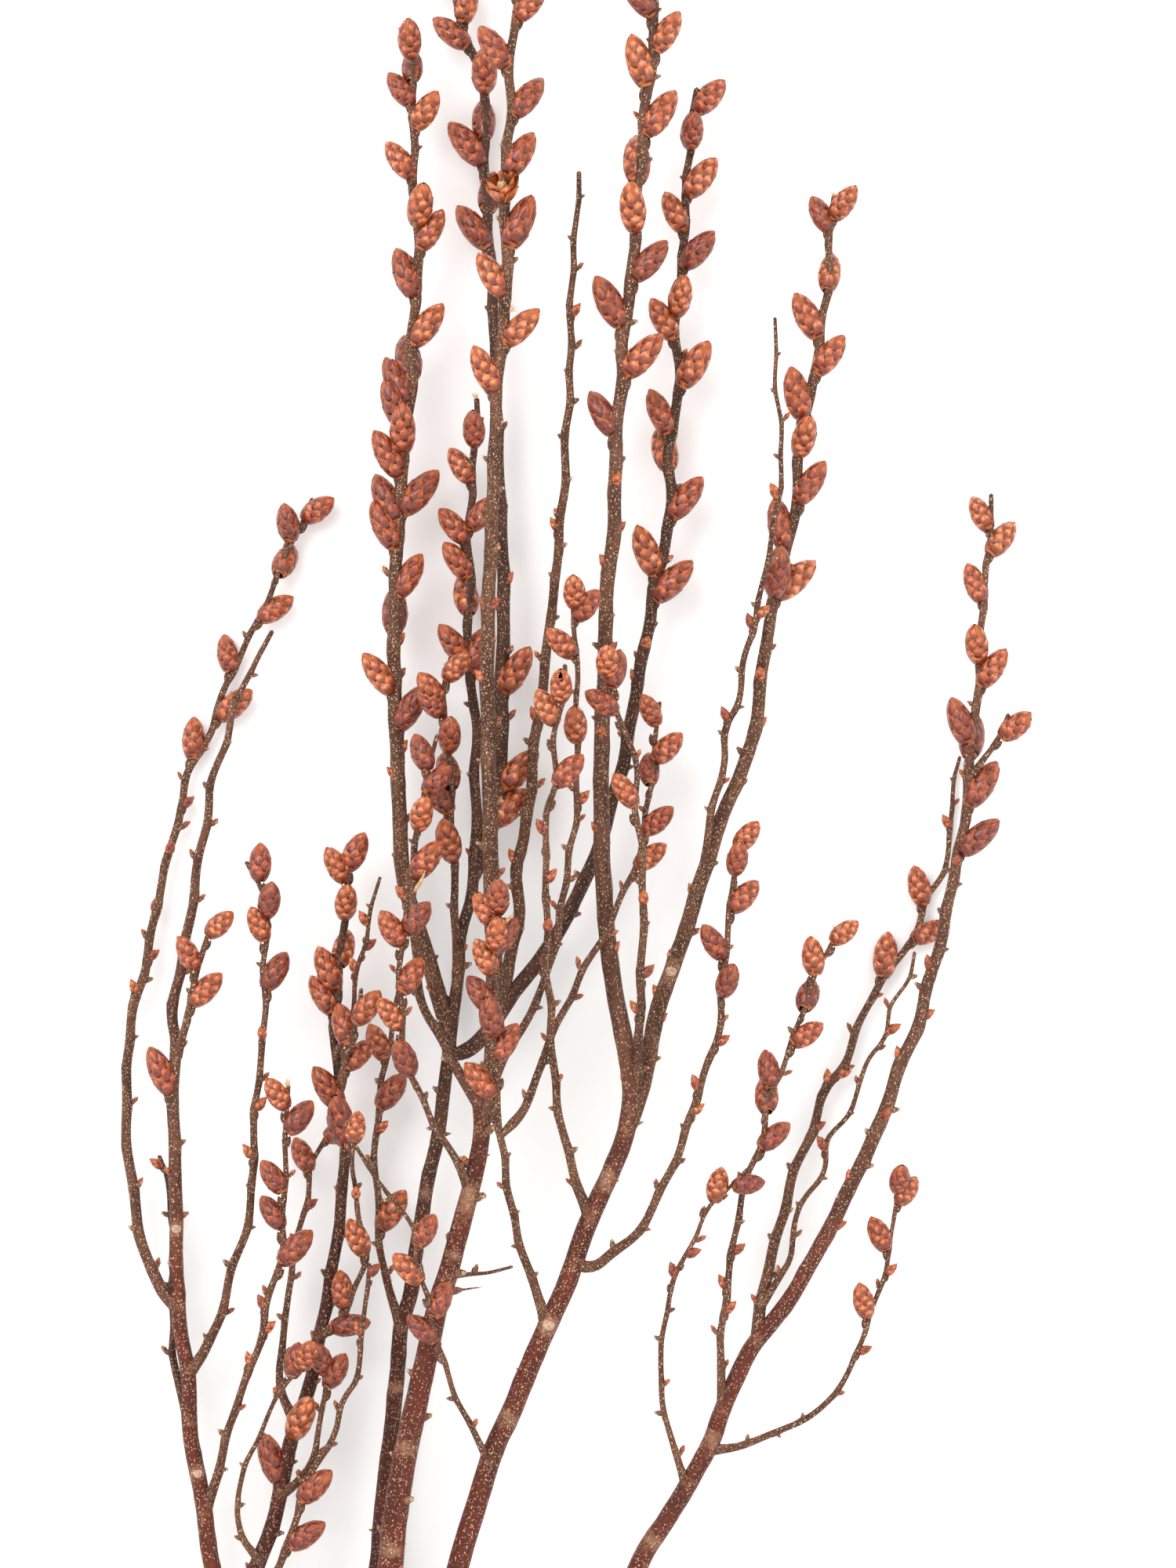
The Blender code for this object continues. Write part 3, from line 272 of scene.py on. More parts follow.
    "right_left_spray": dict(leaves="right_limb", foot=0.55, tip=0.3, height=20.0,
        route=((16.4, 13.2), (14.6, 18), (13.2, 24), (12, 30), (12.3, 37), (13.2, 44), (15.2, 50),
               (17.6, 55), (19.8, 59.5), (23.4, 63), (26.4, 66.3)),
        growth="l48 r52 L60 R64"),
    "right_low_spray": dict(leaves="right_limb", foot=0.6, tip=0.3, height=11.0,
        route=((19.9, 19.2), (25.6, 19.8), (31, 22.4), (36.4, 24.4), (41, 29), (44.4, 34.5),
               (46.6, 41.5), (49.2, 47.5), (49.9, 53.5), (51.3, 59.5), (51.1, 64)),
        growth="r36 L42 r48 L53 R60 F62"),
}
sides = {"R": 0.0, "F": 90.0, "L": 180.0, "B": 270.0}
redStems = ("main_stem", "left_limb", "right_centre_limb", "right_limb")
darkStems = ("back_limb", "tall_back_stem", "left_back_twig", "low_limb", "crossing_stem")

# how the twigs run and pass each other: the same values as the solids
layout = dict(middle=(-2.050, 83.014), seed=41, step=2.0, fine=12, taper=0.8, clearance=0.7,
              rootFree=9.0, rootBlend=22.0, spread=7, rounds=500, buttStraight=45.0, restDepth=0.12,
              restShare=0.78)
growthSizes = dict(catkinLength=(4.1, 6.0), catkinWidth=(3.2, 1.4), thickest=0.9, catkinLean=33.0,
                   budLength=2.3, budWidth=1.3, budLean=40.0, leanSpread=6.0, turnSpread=22.0,
                   sizeSpread=0.07, budBall=0.6,
                   catkinBalls=((0.22, 0.72), (0.45, 1.0), (0.68, 0.84), (0.9, 0.45)))


# even samples of a smooth curve through the points, and how far along each one lies
def smoothRoute(points, step, fine):
    knots = np.array(points, float)
    ends = np.vstack([2 * knots[0] - knots[1], knots, 2 * knots[-1] - knots[-2]])
    t = np.linspace(0, 1, fine, endpoint=False)[:, None]
    pieces = []
    for before, start, end, after in zip(ends, ends[1:], ends[2:], ends[3:]):
        slope = (end - before) / 2
        slopeEnd = (after - start) / 2
        chord = end - start
        pieces.append(start + slope * t + (3 * chord - 2 * slope - slopeEnd) * t**2
                      + (slope + slopeEnd - 2 * chord) * t**3)
    dense = np.vstack(pieces + [knots[-1:]])
    run = np.concatenate([[0], np.cumsum(np.linalg.norm(np.diff(dense, axis=0), axis=1))])
    even = np.linspace(0, run[-1], max(6, round(run[-1] / step) + 1))
    return np.column_stack([np.interp(even, run, dense[:, axis])
                            for axis in range(knots.shape[1])]), even


# catkins and side buds from a growth line, with their places, directions and sizes
def findGrowths(twig, text, draw):
    found = []
    for word in text.split():
        at = int(np.argmin(np.abs(twig["xy"][:, 1] - float(word[1:]))))
        catkin = word[0].isupper()
        turn = math.radians(sides[word[0].upper()]
                            + draw.uniform(-growthSizes["turnSpread"], growthSizes["turnSpread"]))
        lean = math.radians(growthSizes["catkinLean" if catkin else "budLean"]
                            + draw.uniform(-growthSizes["leanSpread"], growthSizes["leanSpread"]))
        along = twig["along"][at]
        right = np.array([along[1], -along[0], 0.0])
        out = right * math.cos(turn) + np.array([0.0, 0.0, 1.0]) * math.sin(turn)
        size = draw.uniform(1 - growthSizes["sizeSpread"], 1 + growthSizes["sizeSpread"])
        girth = min(twig["radius"][at], growthSizes["thickest"])
        length, width = growthSizes["budLength"], growthSizes["budWidth"]
        if catkin:
            length, width = (base + extra * girth for base, extra in
                             (growthSizes["catkinLength"], growthSizes["catkinWidth"]))
        found.append(dict(at=at, catkin=catkin, spin=draw.uniform(0, 360), out=out,
                          length=length * size, width=width * size,
                          axis=along * math.cos(lean) + out * math.sin(lean)))
    return found


def readTwigs():
    names = list(twigs)
    read = []
    for order, (name, values) in enumerate(twigs.items()):
        xy, run = smoothRoute(values["route"], layout["step"], layout["fine"])
        along = np.gradient(xy, axis=0)
        along /= np.linalg.norm(along, axis=1)[:, None]
        twig = dict(name=name, xy=xy, run=run, height=values["height"],
                    parent=names.index(values["leaves"]) if values["leaves"] else None,
                    radius=values["tip"] + (values["foot"] - values["tip"])
                    * (1 - run / run[-1]) ** layout["taper"],
                    along=np.column_stack([along, np.zeros(len(xy))]))
        twig["growths"] = findGrowths(twig, values["growth"], random.Random(layout["seed"] + order))
        read.append(twig)
    return read


# balls that fill a twig and its catkins: sample, place beside it, height, radius, on the stem
def ballsOf(twig):
    balls = [(at, 0.0, 0.0, 0.0, radius, True) for at, radius in enumerate(twig["radius"])]
    for growth in twig["growths"]:
        length, width = growth["length"], growth["width"]
        if growth["catkin"]:
            spots = [(share * length, fill * width / 2) for share, fill in growthSizes["catkinBalls"]]
        else:
            spots = [(growthSizes["budBall"] * length, growthSizes["budBall"] * width)]
        for distance, radius in spots:
            balls.append((growth["at"], *(growth["axis"] * distance), radius, False))
    return balls


# heights of all samples: each twig rises from where it leaves its parent to its own height
def heightsOf(read, starts, offset):
    z = np.zeros(len(offset))
    for twig, start in zip(read, starts):
        share = twig["run"] / twig["run"][-1]
        end = start + len(share)
        if twig["parent"] is None:
            root = layout["restShare"] * twig["radius"][0]
            rise = share**2 * (3 - 2 * share)
        else:
            parent = read[twig["parent"]]
            near = np.argmin(np.linalg.norm(parent["xy"] - twig["xy"][0], axis=1))
            root = z[starts[twig["parent"]] + near]
            rise = 1 - (1 - share) ** 2
        z[start:end] = root + (twig["height"] - root) * rise + offset[start:end]
    return z


# bends the twigs up and down, and nowhere else, until they pass clear of each other
def settle(read):
    counts = [len(twig["run"]) for twig in read]
    starts = np.concatenate([[0], np.cumsum(counts)[:-1]]).astype(int)
    rows = [(order, start + ball[0], *ball[1:]) for order, (twig, start)
            in enumerate(zip(read, starts)) for ball in ballsOf(twig)]
    owner = np.array([row[0] for row in rows])
    sample = np.array([row[1] for row in rows])
    lift = np.array([row[4] for row in rows])
    reach = np.array([row[5] for row in rows])
    stem = np.array([row[6] for row in rows])
    allXy = np.vstack([twig["xy"] for twig in read])
    allRun = np.concatenate([twig["run"] for twig in read])
    place = allXy[sample] + np.array([row[2:4] for row in rows])

    one, two = np.triu_indices(len(rows), 1)
    flat = np.linalg.norm(place[one] - place[two], axis=1)
    limit = reach[one] + reach[two] + layout["clearance"]
    near = (owner[one] != owner[two]) & (flat < limit)
    one, two, flat, limit = one[near], two[near], flat[near], limit[near]
    parents = np.array([-1 if twig["parent"] is None else twig["parent"] for twig in read])
    footOne = (allRun[sample[one]] < layout["rootFree"]) & stem[one]
    footTwo = (allRun[sample[two]] < layout["rootFree"]) & stem[two]
    joinedHere = ((parents[owner[one]] == owner[two]) & footOne) | (
        (parents[owner[two]] == owner[one]) & footTwo) | (
        (parents[owner[one]] == parents[owner[two]]) & footOne & footTwo)
    one, two, flat, limit = (value[~joinedHere] for value in (one, two, flat, limit))
    need = np.sqrt(limit**2 - flat**2)

    offset = np.zeros(len(allRun))
    z = heightsOf(read, starts, offset)
    level = z[sample] + lift
    pair = owner[one] * len(read) + owner[two]
    orderSum = np.bincount(pair, level[one] - level[two], len(read) ** 2)
    above = np.where(orderSum[pair] >= 0, 1.0, -1.0)

    spread = layout["spread"]
    window = np.hanning(2 * spread + 3)[1:-1]
    window /= window.sum()
    hold = np.clip(allRun / layout["rootBlend"], 0, 1) ** 2
    butt = slice(0, counts[0])
    hold[butt] = np.clip((allRun[butt] - layout["buttStraight"]) / layout["buttStraight"], 0, 1)
    for _ in range(layout["rounds"]):
        level = z[sample] + lift
        push = np.clip(need - above * (level[one] - level[two]), 0, None) * above * 0.5
        sink = np.clip(reach - layout["restDepth"] / 2 - level, 0, None)
        total = np.bincount(sample[one], push, len(z)) - np.bincount(sample[two], push, len(z))
        total += np.bincount(sample, sink, len(z))
        hits = np.bincount(sample[one], push != 0, len(z)) + np.bincount(
            sample[two], push != 0, len(z)) + np.bincount(sample, sink > 0, len(z))
        move = total / np.maximum(hits, 1)
        for start, count in zip(starts, counts):
            piece = slice(start, start + count)
            padded = np.pad(move[piece], spread, mode="edge")
            offset[piece] += np.convolve(padded, window, mode="valid") * hold[piece]
        z = heightsOf(read, starts, offset)
    for twig, start, count in zip(read, starts, counts):
        twig["points"] = np.column_stack([twig["xy"], z[start:start + count]])


plant = readTwigs()
settle(plant)
print("twigs laid out:", len(plant))


# one piece's points, faces, finishes and shading marks, gathered part by part
class Gather:
    def __init__(self):
        self.points = []
        self.faces = []
        self.finish = []
        self.place = []  # where a finish reads its pattern
        # on a catkin the tint also sets how strong its painted highlight is
        self.tint = []  # the age of bark, or the tone of a catkin
        self.patch = []  # how rough and pale the bark is
        self.count = 0

    def add(self, points, faces, finish, place, tint, patch=0.0):
        self.points.append(np.asarray(points, float))
        self.faces.extend(tuple(index + self.count for index in face) for face in faces)
        self.finish.extend([finish] * len(faces))
        self.place.append(np.asarray(place, float))
        self.tint.append(np.zeros(len(points)) + tint)
        self.patch.append(np.zeros(len(points)) + patch)
        self.count += len(points)


def makePiece(name, gather, finishes):
    points = np.vstack(gather.points)
    points[:, :2] -= layout["middle"]
    points = np.clip(points * mm, *(np.array(corner) for corner in cadBox))
    mesh = bpy.data.meshes.new(name)
    mesh.from_pydata(points.tolist(), [], gather.faces)
    for finish in finishes:
        mesh.materials.append(finish)
    mesh.polygons.foreach_set("material_index", gather.finish)
    mesh.polygons.foreach_set("use_smooth", [True] * len(gather.faces))
    for mark, kind, field, values in (("place", "FLOAT_VECTOR", "vector", np.vstack(gather.place)),
                                      ("tint", "FLOAT", "value", np.concatenate(gather.tint)),
                                      ("patch", "FLOAT", "value", np.concatenate(gather.patch))):
        mesh.attributes.new(mark, kind, "POINT").data.foreach_set(field, values.astype(np.float32).ravel())
    mesh.update()
    piece = bpy.data.objects.new(name, mesh)
    bpy.context.scene.collection.objects.link(piece)
    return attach(piece, "root")


# finishes
def newFinish(name, roughness, specular=0.5, coat=0.0):
    finish = bpy.data.materials.new(name)
    finish.use_nodes = True
    shader = finish.node_tree.nodes["Principled BSDF"]
    for socket, value in (("Roughness", roughness), ("Specular IOR Level", specular),
                          ("Coat Weight", coat), ("Coat Roughness", 0.25)):
        shader.inputs[socket].default_value = value
    return finish, shader


# a new node beside another, whose inputs are sockets or plain values
def addNode(beside, kind, inputs, **settings):
    tree = beside.id_data
    node = tree.nodes.new(kind)
    for key, value in settings.items():
        setattr(node, key, value)
    for key, value in inputs.items():
        if isinstance(value, bpy.types.NodeSocket):
            tree.links.new(value, node.inputs[key])
        else:
            node.inputs[key].default_value = value
    return node


def readMark(shader, mark, output="Fac"):
    return addNode(shader, "ShaderNodeAttribute", {}, attribute_name=mark).outputs[output]


def mathOf(operation, one, two=0.0):
    return addNode(one, "ShaderNodeMath", {0: one, 1: two}, operation=operation).outputs["Value"]


def times(one, two):
    return mathOf("MULTIPLY", one, two)


def plus(one, two):
    return mathOf("ADD", one, two)


# colours at stops along the factor
def ramp(factor, *stops):
    node = addNode(factor, "ShaderNodeValToRGB", {"Fac": factor})
    elements = node.color_ramp.elements
    while len(elements) < len(stops):
        elements.new(0.5)
    for element, (position, colour) in zip(elements, stops):
        element.position = position
        element.color = (*colour, 1)
    return node.outputs["Color"]


# the same with greys from 0 to 1
def fade(factor, *stops):
    return ramp(factor, *((position, (level, level, level)) for position, level in stops))


def stretched(place, scale):
    node = addNode(place, "ShaderNodeVectorMath", {0: place, 1: scale}, operation="MULTIPLY")
    return node.outputs["Vector"]


def noiseOf(place, scale, detail, rough):
    node = addNode(place, "ShaderNodeTexNoise", {"Vector": stretched(place, scale), "Scale": 1.0,
                                                 "Detail": detail, "Roughness": rough})
    return node.outputs["Fac"]


def mixColour(factor, one, two, blend="MIX"):
    if isinstance(two, tuple):
        two = (*two, 1)
    node = addNode(one, "ShaderNodeMix", {0: factor, 6: one, 7: two}, data_type="RGBA", blend_type=blend)
    return node.outputs[2]


def paint(shader, colour):
    shader.id_data.links.new(colour, shader.inputs["Base Color"])


def addBump(shader, height, strength, distance):
    bump = addNode(shader, "ShaderNodeBump", {"Height": height, "Strength": strength, "Distance": distance})
    shader.id_data.links.new(bump.outputs["Normal"], shader.inputs["Normal"])


# light and dark are the bark of young wood, oldLight and oldDark that of the red wood low down
barkLooks = dict(
    red=dict(light=(0.160, 0.068, 0.038), dark=(0.044, 0.016, 0.009), speck=(0.60, 0.38, 0.25),
             oldLight=(0.150, 0.028, 0.013), oldDark=(0.044, 0.010, 0.007), specks=0.55,
             fineSpecks=0.60, grain=0.7, relief=0.7, roughness=0.46),
    brown=dict(light=(0.166, 0.073, 0.041), dark=(0.040, 0.015, 0.008), speck=(0.60, 0.39, 0.26),
               oldLight=(0.150, 0.052, 0.030), oldDark=(0.048, 0.015, 0.010), specks=0.52,
               fineSpecks=0.78, grain=1.0, relief=1.0, roughness=0.60),
    dark=dict(light=(0.102, 0.043, 0.025), dark=(0.022, 0.008, 0.005), speck=(0.48, 0.30, 0.20),
              oldLight=(0.092, 0.020, 0.011), oldDark=(0.030, 0.008, 0.005), specks=0.50,
              fineSpecks=0.62, grain=0.8, relief=0.7, roughness=0.55),
)
# scales are marks per mm round and along the stem, and each pair of dots is its full and its empty radius
barkPattern = dict(blotch=(0.5, 0.5, 0.16), streak=(5.0, 5.0, 0.9), grain=(9.0, 9.0, 5.0),
                   rough=(0.9, 0.9, 1.1), dots=((1.7, 1.7, 1.25), (0.15, 0.27)),
                   fineDots=((2.9, 2.9, 2.3), (0.17, 0.36)),
                   fineDotPale=0.85, blotchShare=0.62, darkAt=0.36, lightAt=0.62, ageUneven=0.8,
                   grainDark=(0.52, 0.50, 0.48), grainLight=(1.25, 1.22, 1.18), patchRough=3.2,
                   patchMiddle=1.6, patchPale=1.1, patchColour=(0.400, 0.205, 0.120), specular=0.2,
                   streakRelief=0.5, dotRelief=0.5, grainRelief=0.4, bump=0.00016)


# dots of cork: near the middles of scattered cells, some of them left out
def makeDots(place, share, scale, radii):
    cells = addNode(place, "ShaderNodeTexVoronoi",
                    {"Vector": stretched(place, scale), "Scale": 1.0, "Randomness": 1.0})
    dot = fade(cells.outputs["Distance"], (radii[0], 1), (radii[1], 0))
    kept = fade(cells.outputs["Color"], (1 - share - 0.05, 0), (1 - share + 0.05, 1))
    return times(dot, kept)


# bark: blotches, fine streaks up the stem, rough pale patches and pale dots of cork
def makeBark(name, look):
    pattern = barkPattern
    finish, shader = newFinish(name, look["roughness"], specular=pattern["specular"])
    place = readMark(shader, "place", "Vector")
    age = readMark(shader, "tint")
    blotch = noiseOf(place, pattern["blotch"], 5.0, 0.65)
    streak = noiseOf(place, pattern["streak"], 4.0, 0.7)
    grain = noiseOf(place, pattern["grain"], 3.0, 0.7)
    rough = noiseOf(place, pattern["rough"], 6.0, 0.85)

    tone = plus(times(blotch, pattern["blotchShare"]), times(streak, 1 - pattern["blotchShare"]))
    young, old = (ramp(tone, (pattern["darkAt"], look[deep]), (pattern["lightAt"], look[pale]))
                  for deep, pale in (("dark", "light"), ("oldDark", "oldLight")))
    uneven = times(mathOf("SUBTRACT", blotch, 0.5), times(age, pattern["ageUneven"]))
    colour = mixColour(plus(age, uneven), young, old)
    shade = ramp(grain, (0.34, pattern["grainDark"]), (0.60, pattern["grainLight"]))
    colour = mixColour(look["grain"], colour, shade, "MULTIPLY")

    edge = plus(readMark(shader, "patch"), times(rough, pattern["patchRough"]))
    edge = mathOf("SUBTRACT", edge, pattern["patchMiddle"])
    patch = times(fade(edge, (0.30, 0), (0.95, 1)), times(grain, pattern["patchPale"]))
    colour = mixColour(patch, colour, pattern["patchColour"])

    fineDots = makeDots(place, look["fineSpecks"], *pattern["fineDots"])
    specks = mathOf("MAXIMUM", makeDots(place, look["specks"], *pattern["dots"]),
                    times(fineDots, pattern["fineDotPale"]))
    paint(shader, mixColour(specks, colour, look["speck"]))
    relief = plus(times(streak, pattern["streakRelief"]),
                  plus(times(specks, pattern["dotRelief"]), times(grain, pattern["grainRelief"])))
    addBump(shader, relief, look["relief"], pattern["bump"])
    return finish


# shade is the colour of the painted shade on each scale's foot and of the dark band inside its rim; middle is
# how strong the painted highlight on each scale's middle is, drawn in the palest colour
catkinLook = dict(maroon=(0.175, 0.026, 0.013), russet=(0.52, 0.092, 0.019), tan=(0.76, 0.225, 0.056),
                  margin=(0.68, 0.190, 0.048), shade=(0.090, 0.011, 0.006), paintedHighlight=(0.95, 0.50, 0.31),
                  grain=(2.6, 3.4, 7.0), foot=0.8, band=0.45, middle=0.60, edge=0.75, roughness=0.28,
                  coat=0.18, bump=0.00012)


# catkin scale: place holds across (-1 to 1), up (0 to 1) and a number of its own
def makeScaleFinish(name, look):
    finish, shader = newFinish(name, look["roughness"], coat=look["coat"])
    place = readMark(shader, "place", "Vector")
    tint = readMark(shader, "tint")
    split = addNode(shader, "ShaderNodeSeparateXYZ", {"Vector": place})
    across = mathOf("ABSOLUTE", split.outputs["X"])
    up = split.outputs["Y"]
    grain = noiseOf(place, look["grain"], 4.0, 0.6)
    colour = ramp(plus(times(grain, 0.8), times(tint, 0.3)),
                  (0.38, look["maroon"]), (0.56, look["russet"]), (0.82, look["tan"]))

    # painted shade on the foot, which lies under the scales below, a dark band inside the rim, a painted
    # highlight on the middle, then the pale rim
    foot = fade(up, (0.34, 1), (0.70, 0))
    colour = mixColour(times(foot, look["foot"]), colour, look["shade"])
    band = mathOf("MAXIMUM", fade(across, (0.42, 0), (0.66, 1), (0.90, 0)),
                  fade(up, (0.74, 0), (0.84, 1), (0.94, 0)))
    colour = mixColour(times(band, look["band"]), colour, look["shade"])
    # painted highlight: a pale spot on the middle of each scale, on the paler catkins only
    middle = times(fade(across, (0.10, 1), (0.62, 0)), fade(up, (0.50, 0), (0.68, 1), (0.90, 0)))
    pale = times(fade(tint, (0.30, 0.12), (0.75, 1)), fade(grain, (0.42, 0), (0.60, 1)))
    colour = mixColour(times(times(middle, pale), look["middle"]), colour, look["paintedHighlight"])
    rim = mathOf("MAXIMUM", mathOf("POWER", across, 5.0), mathOf("POWER", up, 9.0))
    paint(shader, mixColour(times(rim, look["edge"]), colour, look["margin"]))
    addBump(shader, grain, 0.5, look["bump"])
    return finish


plainLooks = dict(
    scar=dict(light=(0.60, 0.40, 0.28), dark=(0.26, 0.13, 0.08), roughness=0.6),
    cut=dict(light=(0.66, 0.52, 0.34), dark=(0.42, 0.28, 0.16), roughness=0.7),
    straw=dict(light=(0.80, 0.55, 0.30), dark=(0.42, 0.20, 0.08), roughness=0.6),
)


# leaf scars, the cut butt and dry leaves: one fine grain each
def makePlain(name, look):
    finish, shader = newFinish(name, look["roughness"])
    grain = noiseOf(readMark(shader, "place", "Vector"), (3.0, 3.0, 3.0), 4.0, 0.65)
    paint(shader, ramp(grain, (0.35, look["dark"]), (0.62, look["light"])))
    addBump(shader, grain, 0.5, 0.0001)
    return finish


barks = {key: makeBark(key + "Bark", look) for key, look in barkLooks.items()}
scaleFinish = makeScaleFinish("catkinScale", catkinLook)
scarFinish, cutFinish, strawFinish = (makePlain(key + "Wood", look) for key, look in plainLooks.items())
onBark, onScar, onScale, onCut, onStraw = range(5)  # places in a stem's list of finishes
onSprayScale, onSprayStraw = range(2)  # and in a spray's
print("finishes made")


# faces between rings of points, the first of which starts at the point first
def bandFaces(first, bands, columns):
    faces = []
    for band in range(bands):
        for column in range(columns):
            a = first + band * columns + column
            b = first + band * columns + (column + 1) % columns
            faces.append((a, b, b + columns, a + columns))
    return faces


# faces from the ring that starts at the point first to a tip
def fanFaces(first, columns, tip):
    return [(first + column, first + (column + 1) % columns, tip) for column in range(columns)]


def ringPoints(radius, columns, height):
    angles = [2 * math.pi * column / columns for column in range(columns)]
    return [(math.cos(angle) * radius, math.sin(angle) * radius, height) for angle in angles]


# catkins, side buds and open catkins, each one long and one wide: first, last and reach are shares of the
# length, golden is the turn from scale to scale, and full and sharp shape the tip
catkinShape = dict(scales=25, golden=137.5, first=0.02, last=0.73, reach=0.31, width=1.50, topWidth=0.70,
                   lift=0.08, flare=0.08, closing=0.30, coreRings=6, widest=0.42, full=2.2, sharp=0.74,
                   grid=4, variants=6)
budShape = dict(scales=7, golden=137.5, first=0.02, last=0.45, reach=0.52, width=1.7, topWidth=1.3,
                lift=0.08, flare=0.20, closing=0.15, coreRings=3, widest=0.34, full=1.9, sharp=1.06,
                grid=4, variants=3)
openShape = dict(scales=9, golden=137.5, first=0.02, last=0.30, reach=0.62, width=1.3, topWidth=1.1,
                 lift=0.15, flare=1.6, closing=0.01, coreRings=1, widest=0.34, full=1.9, sharp=1.06,
                 grid=4, variants=2)
scaleForm = dict(half=0.5, coreSides=8, coreFrom=0.03, coreLength=0.95, coreFill=0.95, coreMark=(0.9, 0.4, 1),
                 turnSpread=9, reachSpread=0.08, marks=20, wide=0.62, footWidth=0.74, widening=0.55,
                 droop=0.10, arch=0.10, widestTurn=2.4, thinnest=0.25, rise=0.55, proud=1.01, shrink=0.09,
                 innerAt=0.3, innerFill=0.5)


# how full the core of a catkin or bud is at t of its length
def coreRadius(t, shape):
    widest = shape["widest"]
    if t < widest:
        return max(0.0, 1 - ((widest - t) / (widest + 0.06)) ** 2) ** 0.62
    return max(0.0, 1 - ((t - widest) / (1 - widest)) ** shape["full"]) ** shape["sharp"]


# closed scales on a spiral round a pointed core, along +Z
def makeBud(shape, draw):
    form = scaleForm
    grid, half = shape["grid"], form["half"]
    rings, columns = shape["coreRings"], form["coreSides"]
    points = []
    for ring in range(rings + 1):
        t = form["coreFrom"] + form["coreLength"] * ring / rings
        points += ringPoints(coreRadius(t, shape) * half * form["coreFill"], columns, t)
    place = [form["coreMark"]] * len(points)
    faces = bandFaces(0, rings, columns)
    for number in range(shape["scales"]):
        share = number / (shape["scales"] - 1)
        start = shape["first"] + (shape["last"] - shape["first"]) * share
        turn = math.radians(number * shape["golden"] + draw.uniform(-form["turnSpread"], form["turnSpread"]))
        reach = shape["reach"] * draw.uniform(1 - form["reachSpread"], 1 + form["reachSpread"])
        wide = (shape["width"] + (shape["topWidth"] - shape["width"]) * share) * half * form["wide"]
        mark = draw.uniform(0, form["marks"])
        first = len(points)
        for row in range(grid + 1):
            v = row / grid
            outline = (form["footWidth"] + form["widening"] * v) * max(0.0, 1 - v**2.6) ** 0.75
            for column in range(grid + 1):
                u = column / grid * 2 - 1
                t = start + v * reach * (1 - form["droop"] * u * u)
                core = coreRadius(min(t, 1.0), shape) * half
                angle = turn + u * outline * min(form["widestTurn"], wide / max(core, form["thinnest"] * half))
                rise = (shape["lift"] + shape["flare"] * v**1.6 - form["arch"] * u * u) * half * form["rise"]
                close = min(1.0, max(0.0, 1 - t) / shape["closing"])
                radius = core * (form["proud"] - form["shrink"] * close) + rise * close
                points.append((math.cos(angle) * radius, math.sin(angle) * radius, min(t, 1.0)))
                place.append((u, v, mark))
        inner = len(points)
        t = start + form["innerAt"] * reach
        radius = coreRadius(t, shape) * half * form["innerFill"]
        points.append((math.cos(turn) * radius, math.sin(turn) * radius, t))
        place.append((0, 0, mark))
        for row in range(grid):
            for column in range(grid):
                corner = first + row * (grid + 1) + column
                faces.append((corner, corner + 1, corner + grid + 2, corner + grid + 1))
        rim = ([first + column for column in range(grid)]
               + [first + row * (grid + 1) + grid for row in range(grid)]
               + [first + grid * (grid + 1) + column for column in range(grid, 0, -1)]
               + [first + row * (grid + 1) for row in range(grid, 0, -1)])
        for one, two in zip(rim, rim[1:] + rim[:1]):
            faces.append((two, one, inner))
    return np.array(points), faces, np.array(place)


draw = random.Random(7)
catkinKinds, budKinds, openKinds = ([makeBud(shape, draw) for _ in range(shape["variants"])]
                                    for shape in (catkinShape, budShape, openShape))


def turnedTo(axis, spin):
    turn = Vector(axis).to_track_quat("Z", "Y").to_matrix() @ Matrix.Rotation(math.radians(spin), 3, "Z")
    return np.array(turn)


# stems: ring is the step between rings in mm, and redBelow and redTops say up to where the wood is red
stemShape = dict(ring=1.0, fine=4, thick=1.5, thickSides=16, middle=0.9, middleSides=12, thinSides=9,
                 wander=0.05, nodeSwell=0.13, nodeLength=0.9, fullSwell=1.2, zigzag=0.26, bendBelow=1.6,
                 collar=0.9, collarLength=2.4, footSlope=0.12, footFill=0.9, tipLength=0.8, redBelow=75.0,
                 redTops=dict(main_stem=102.0, right_centre_limb=92.0), redFade=35.0, forkPatch=0.55,
                 forkLength=1.3, underside=0.35, budSize=1.3)
knobShape = dict(every=6.2, spread=1.6, bareTip=2.0, tilt=0.9, size=0.95, length=1.3, width=1.15, point=0.4,
                 clear=2.2, smoothWood=1.6, smoothShare=0.55, patch=0.6, deadWood=1.35, budShare=0.35,
                 bud=(0.80, 0.80, 1.35))
shoulderShape = dict(catkin=0.95, bud=0.6, girth=0.35, thickest=1.2, length=1.7, width=1.05, lean=0.42,
                     scarLength=0.30, scarWidth=0.62)

# rough pale places on the bark, as (x, y, half length)
roughPlaces = dict(
    main_stem=((-29.8, 20.4, 1.5), (-19.6, 61.0, 3.0), (-24.5, 53.0, 1.0), (-34.0, 4.0, 1.4)),
    back_limb=((-31.8, 29.5, 1.2), (-26.5, 62.0, 1.4)),
    right_centre_limb=((-11.7, 24.2, 1.6), (-7.0, 41.0, 1.8), (3.5, 63.9, 2.4)),
    right_limb=((11.4, 3.5, 1.6), (24.0, 20.0, 1.3)),
    right_tall_twig=((14.0, 99.0, 2.2),),
    left_limb=((-65.5, 15.0, 1.5), (-68.0, 56.0, 1.6)),
)

# the one catkin that is torn open
tornCatkin = dict(stem="tall_front_stem", place=(-14.3, 226.0), near=4.0, size=(0.85, 0.85, 0.62))

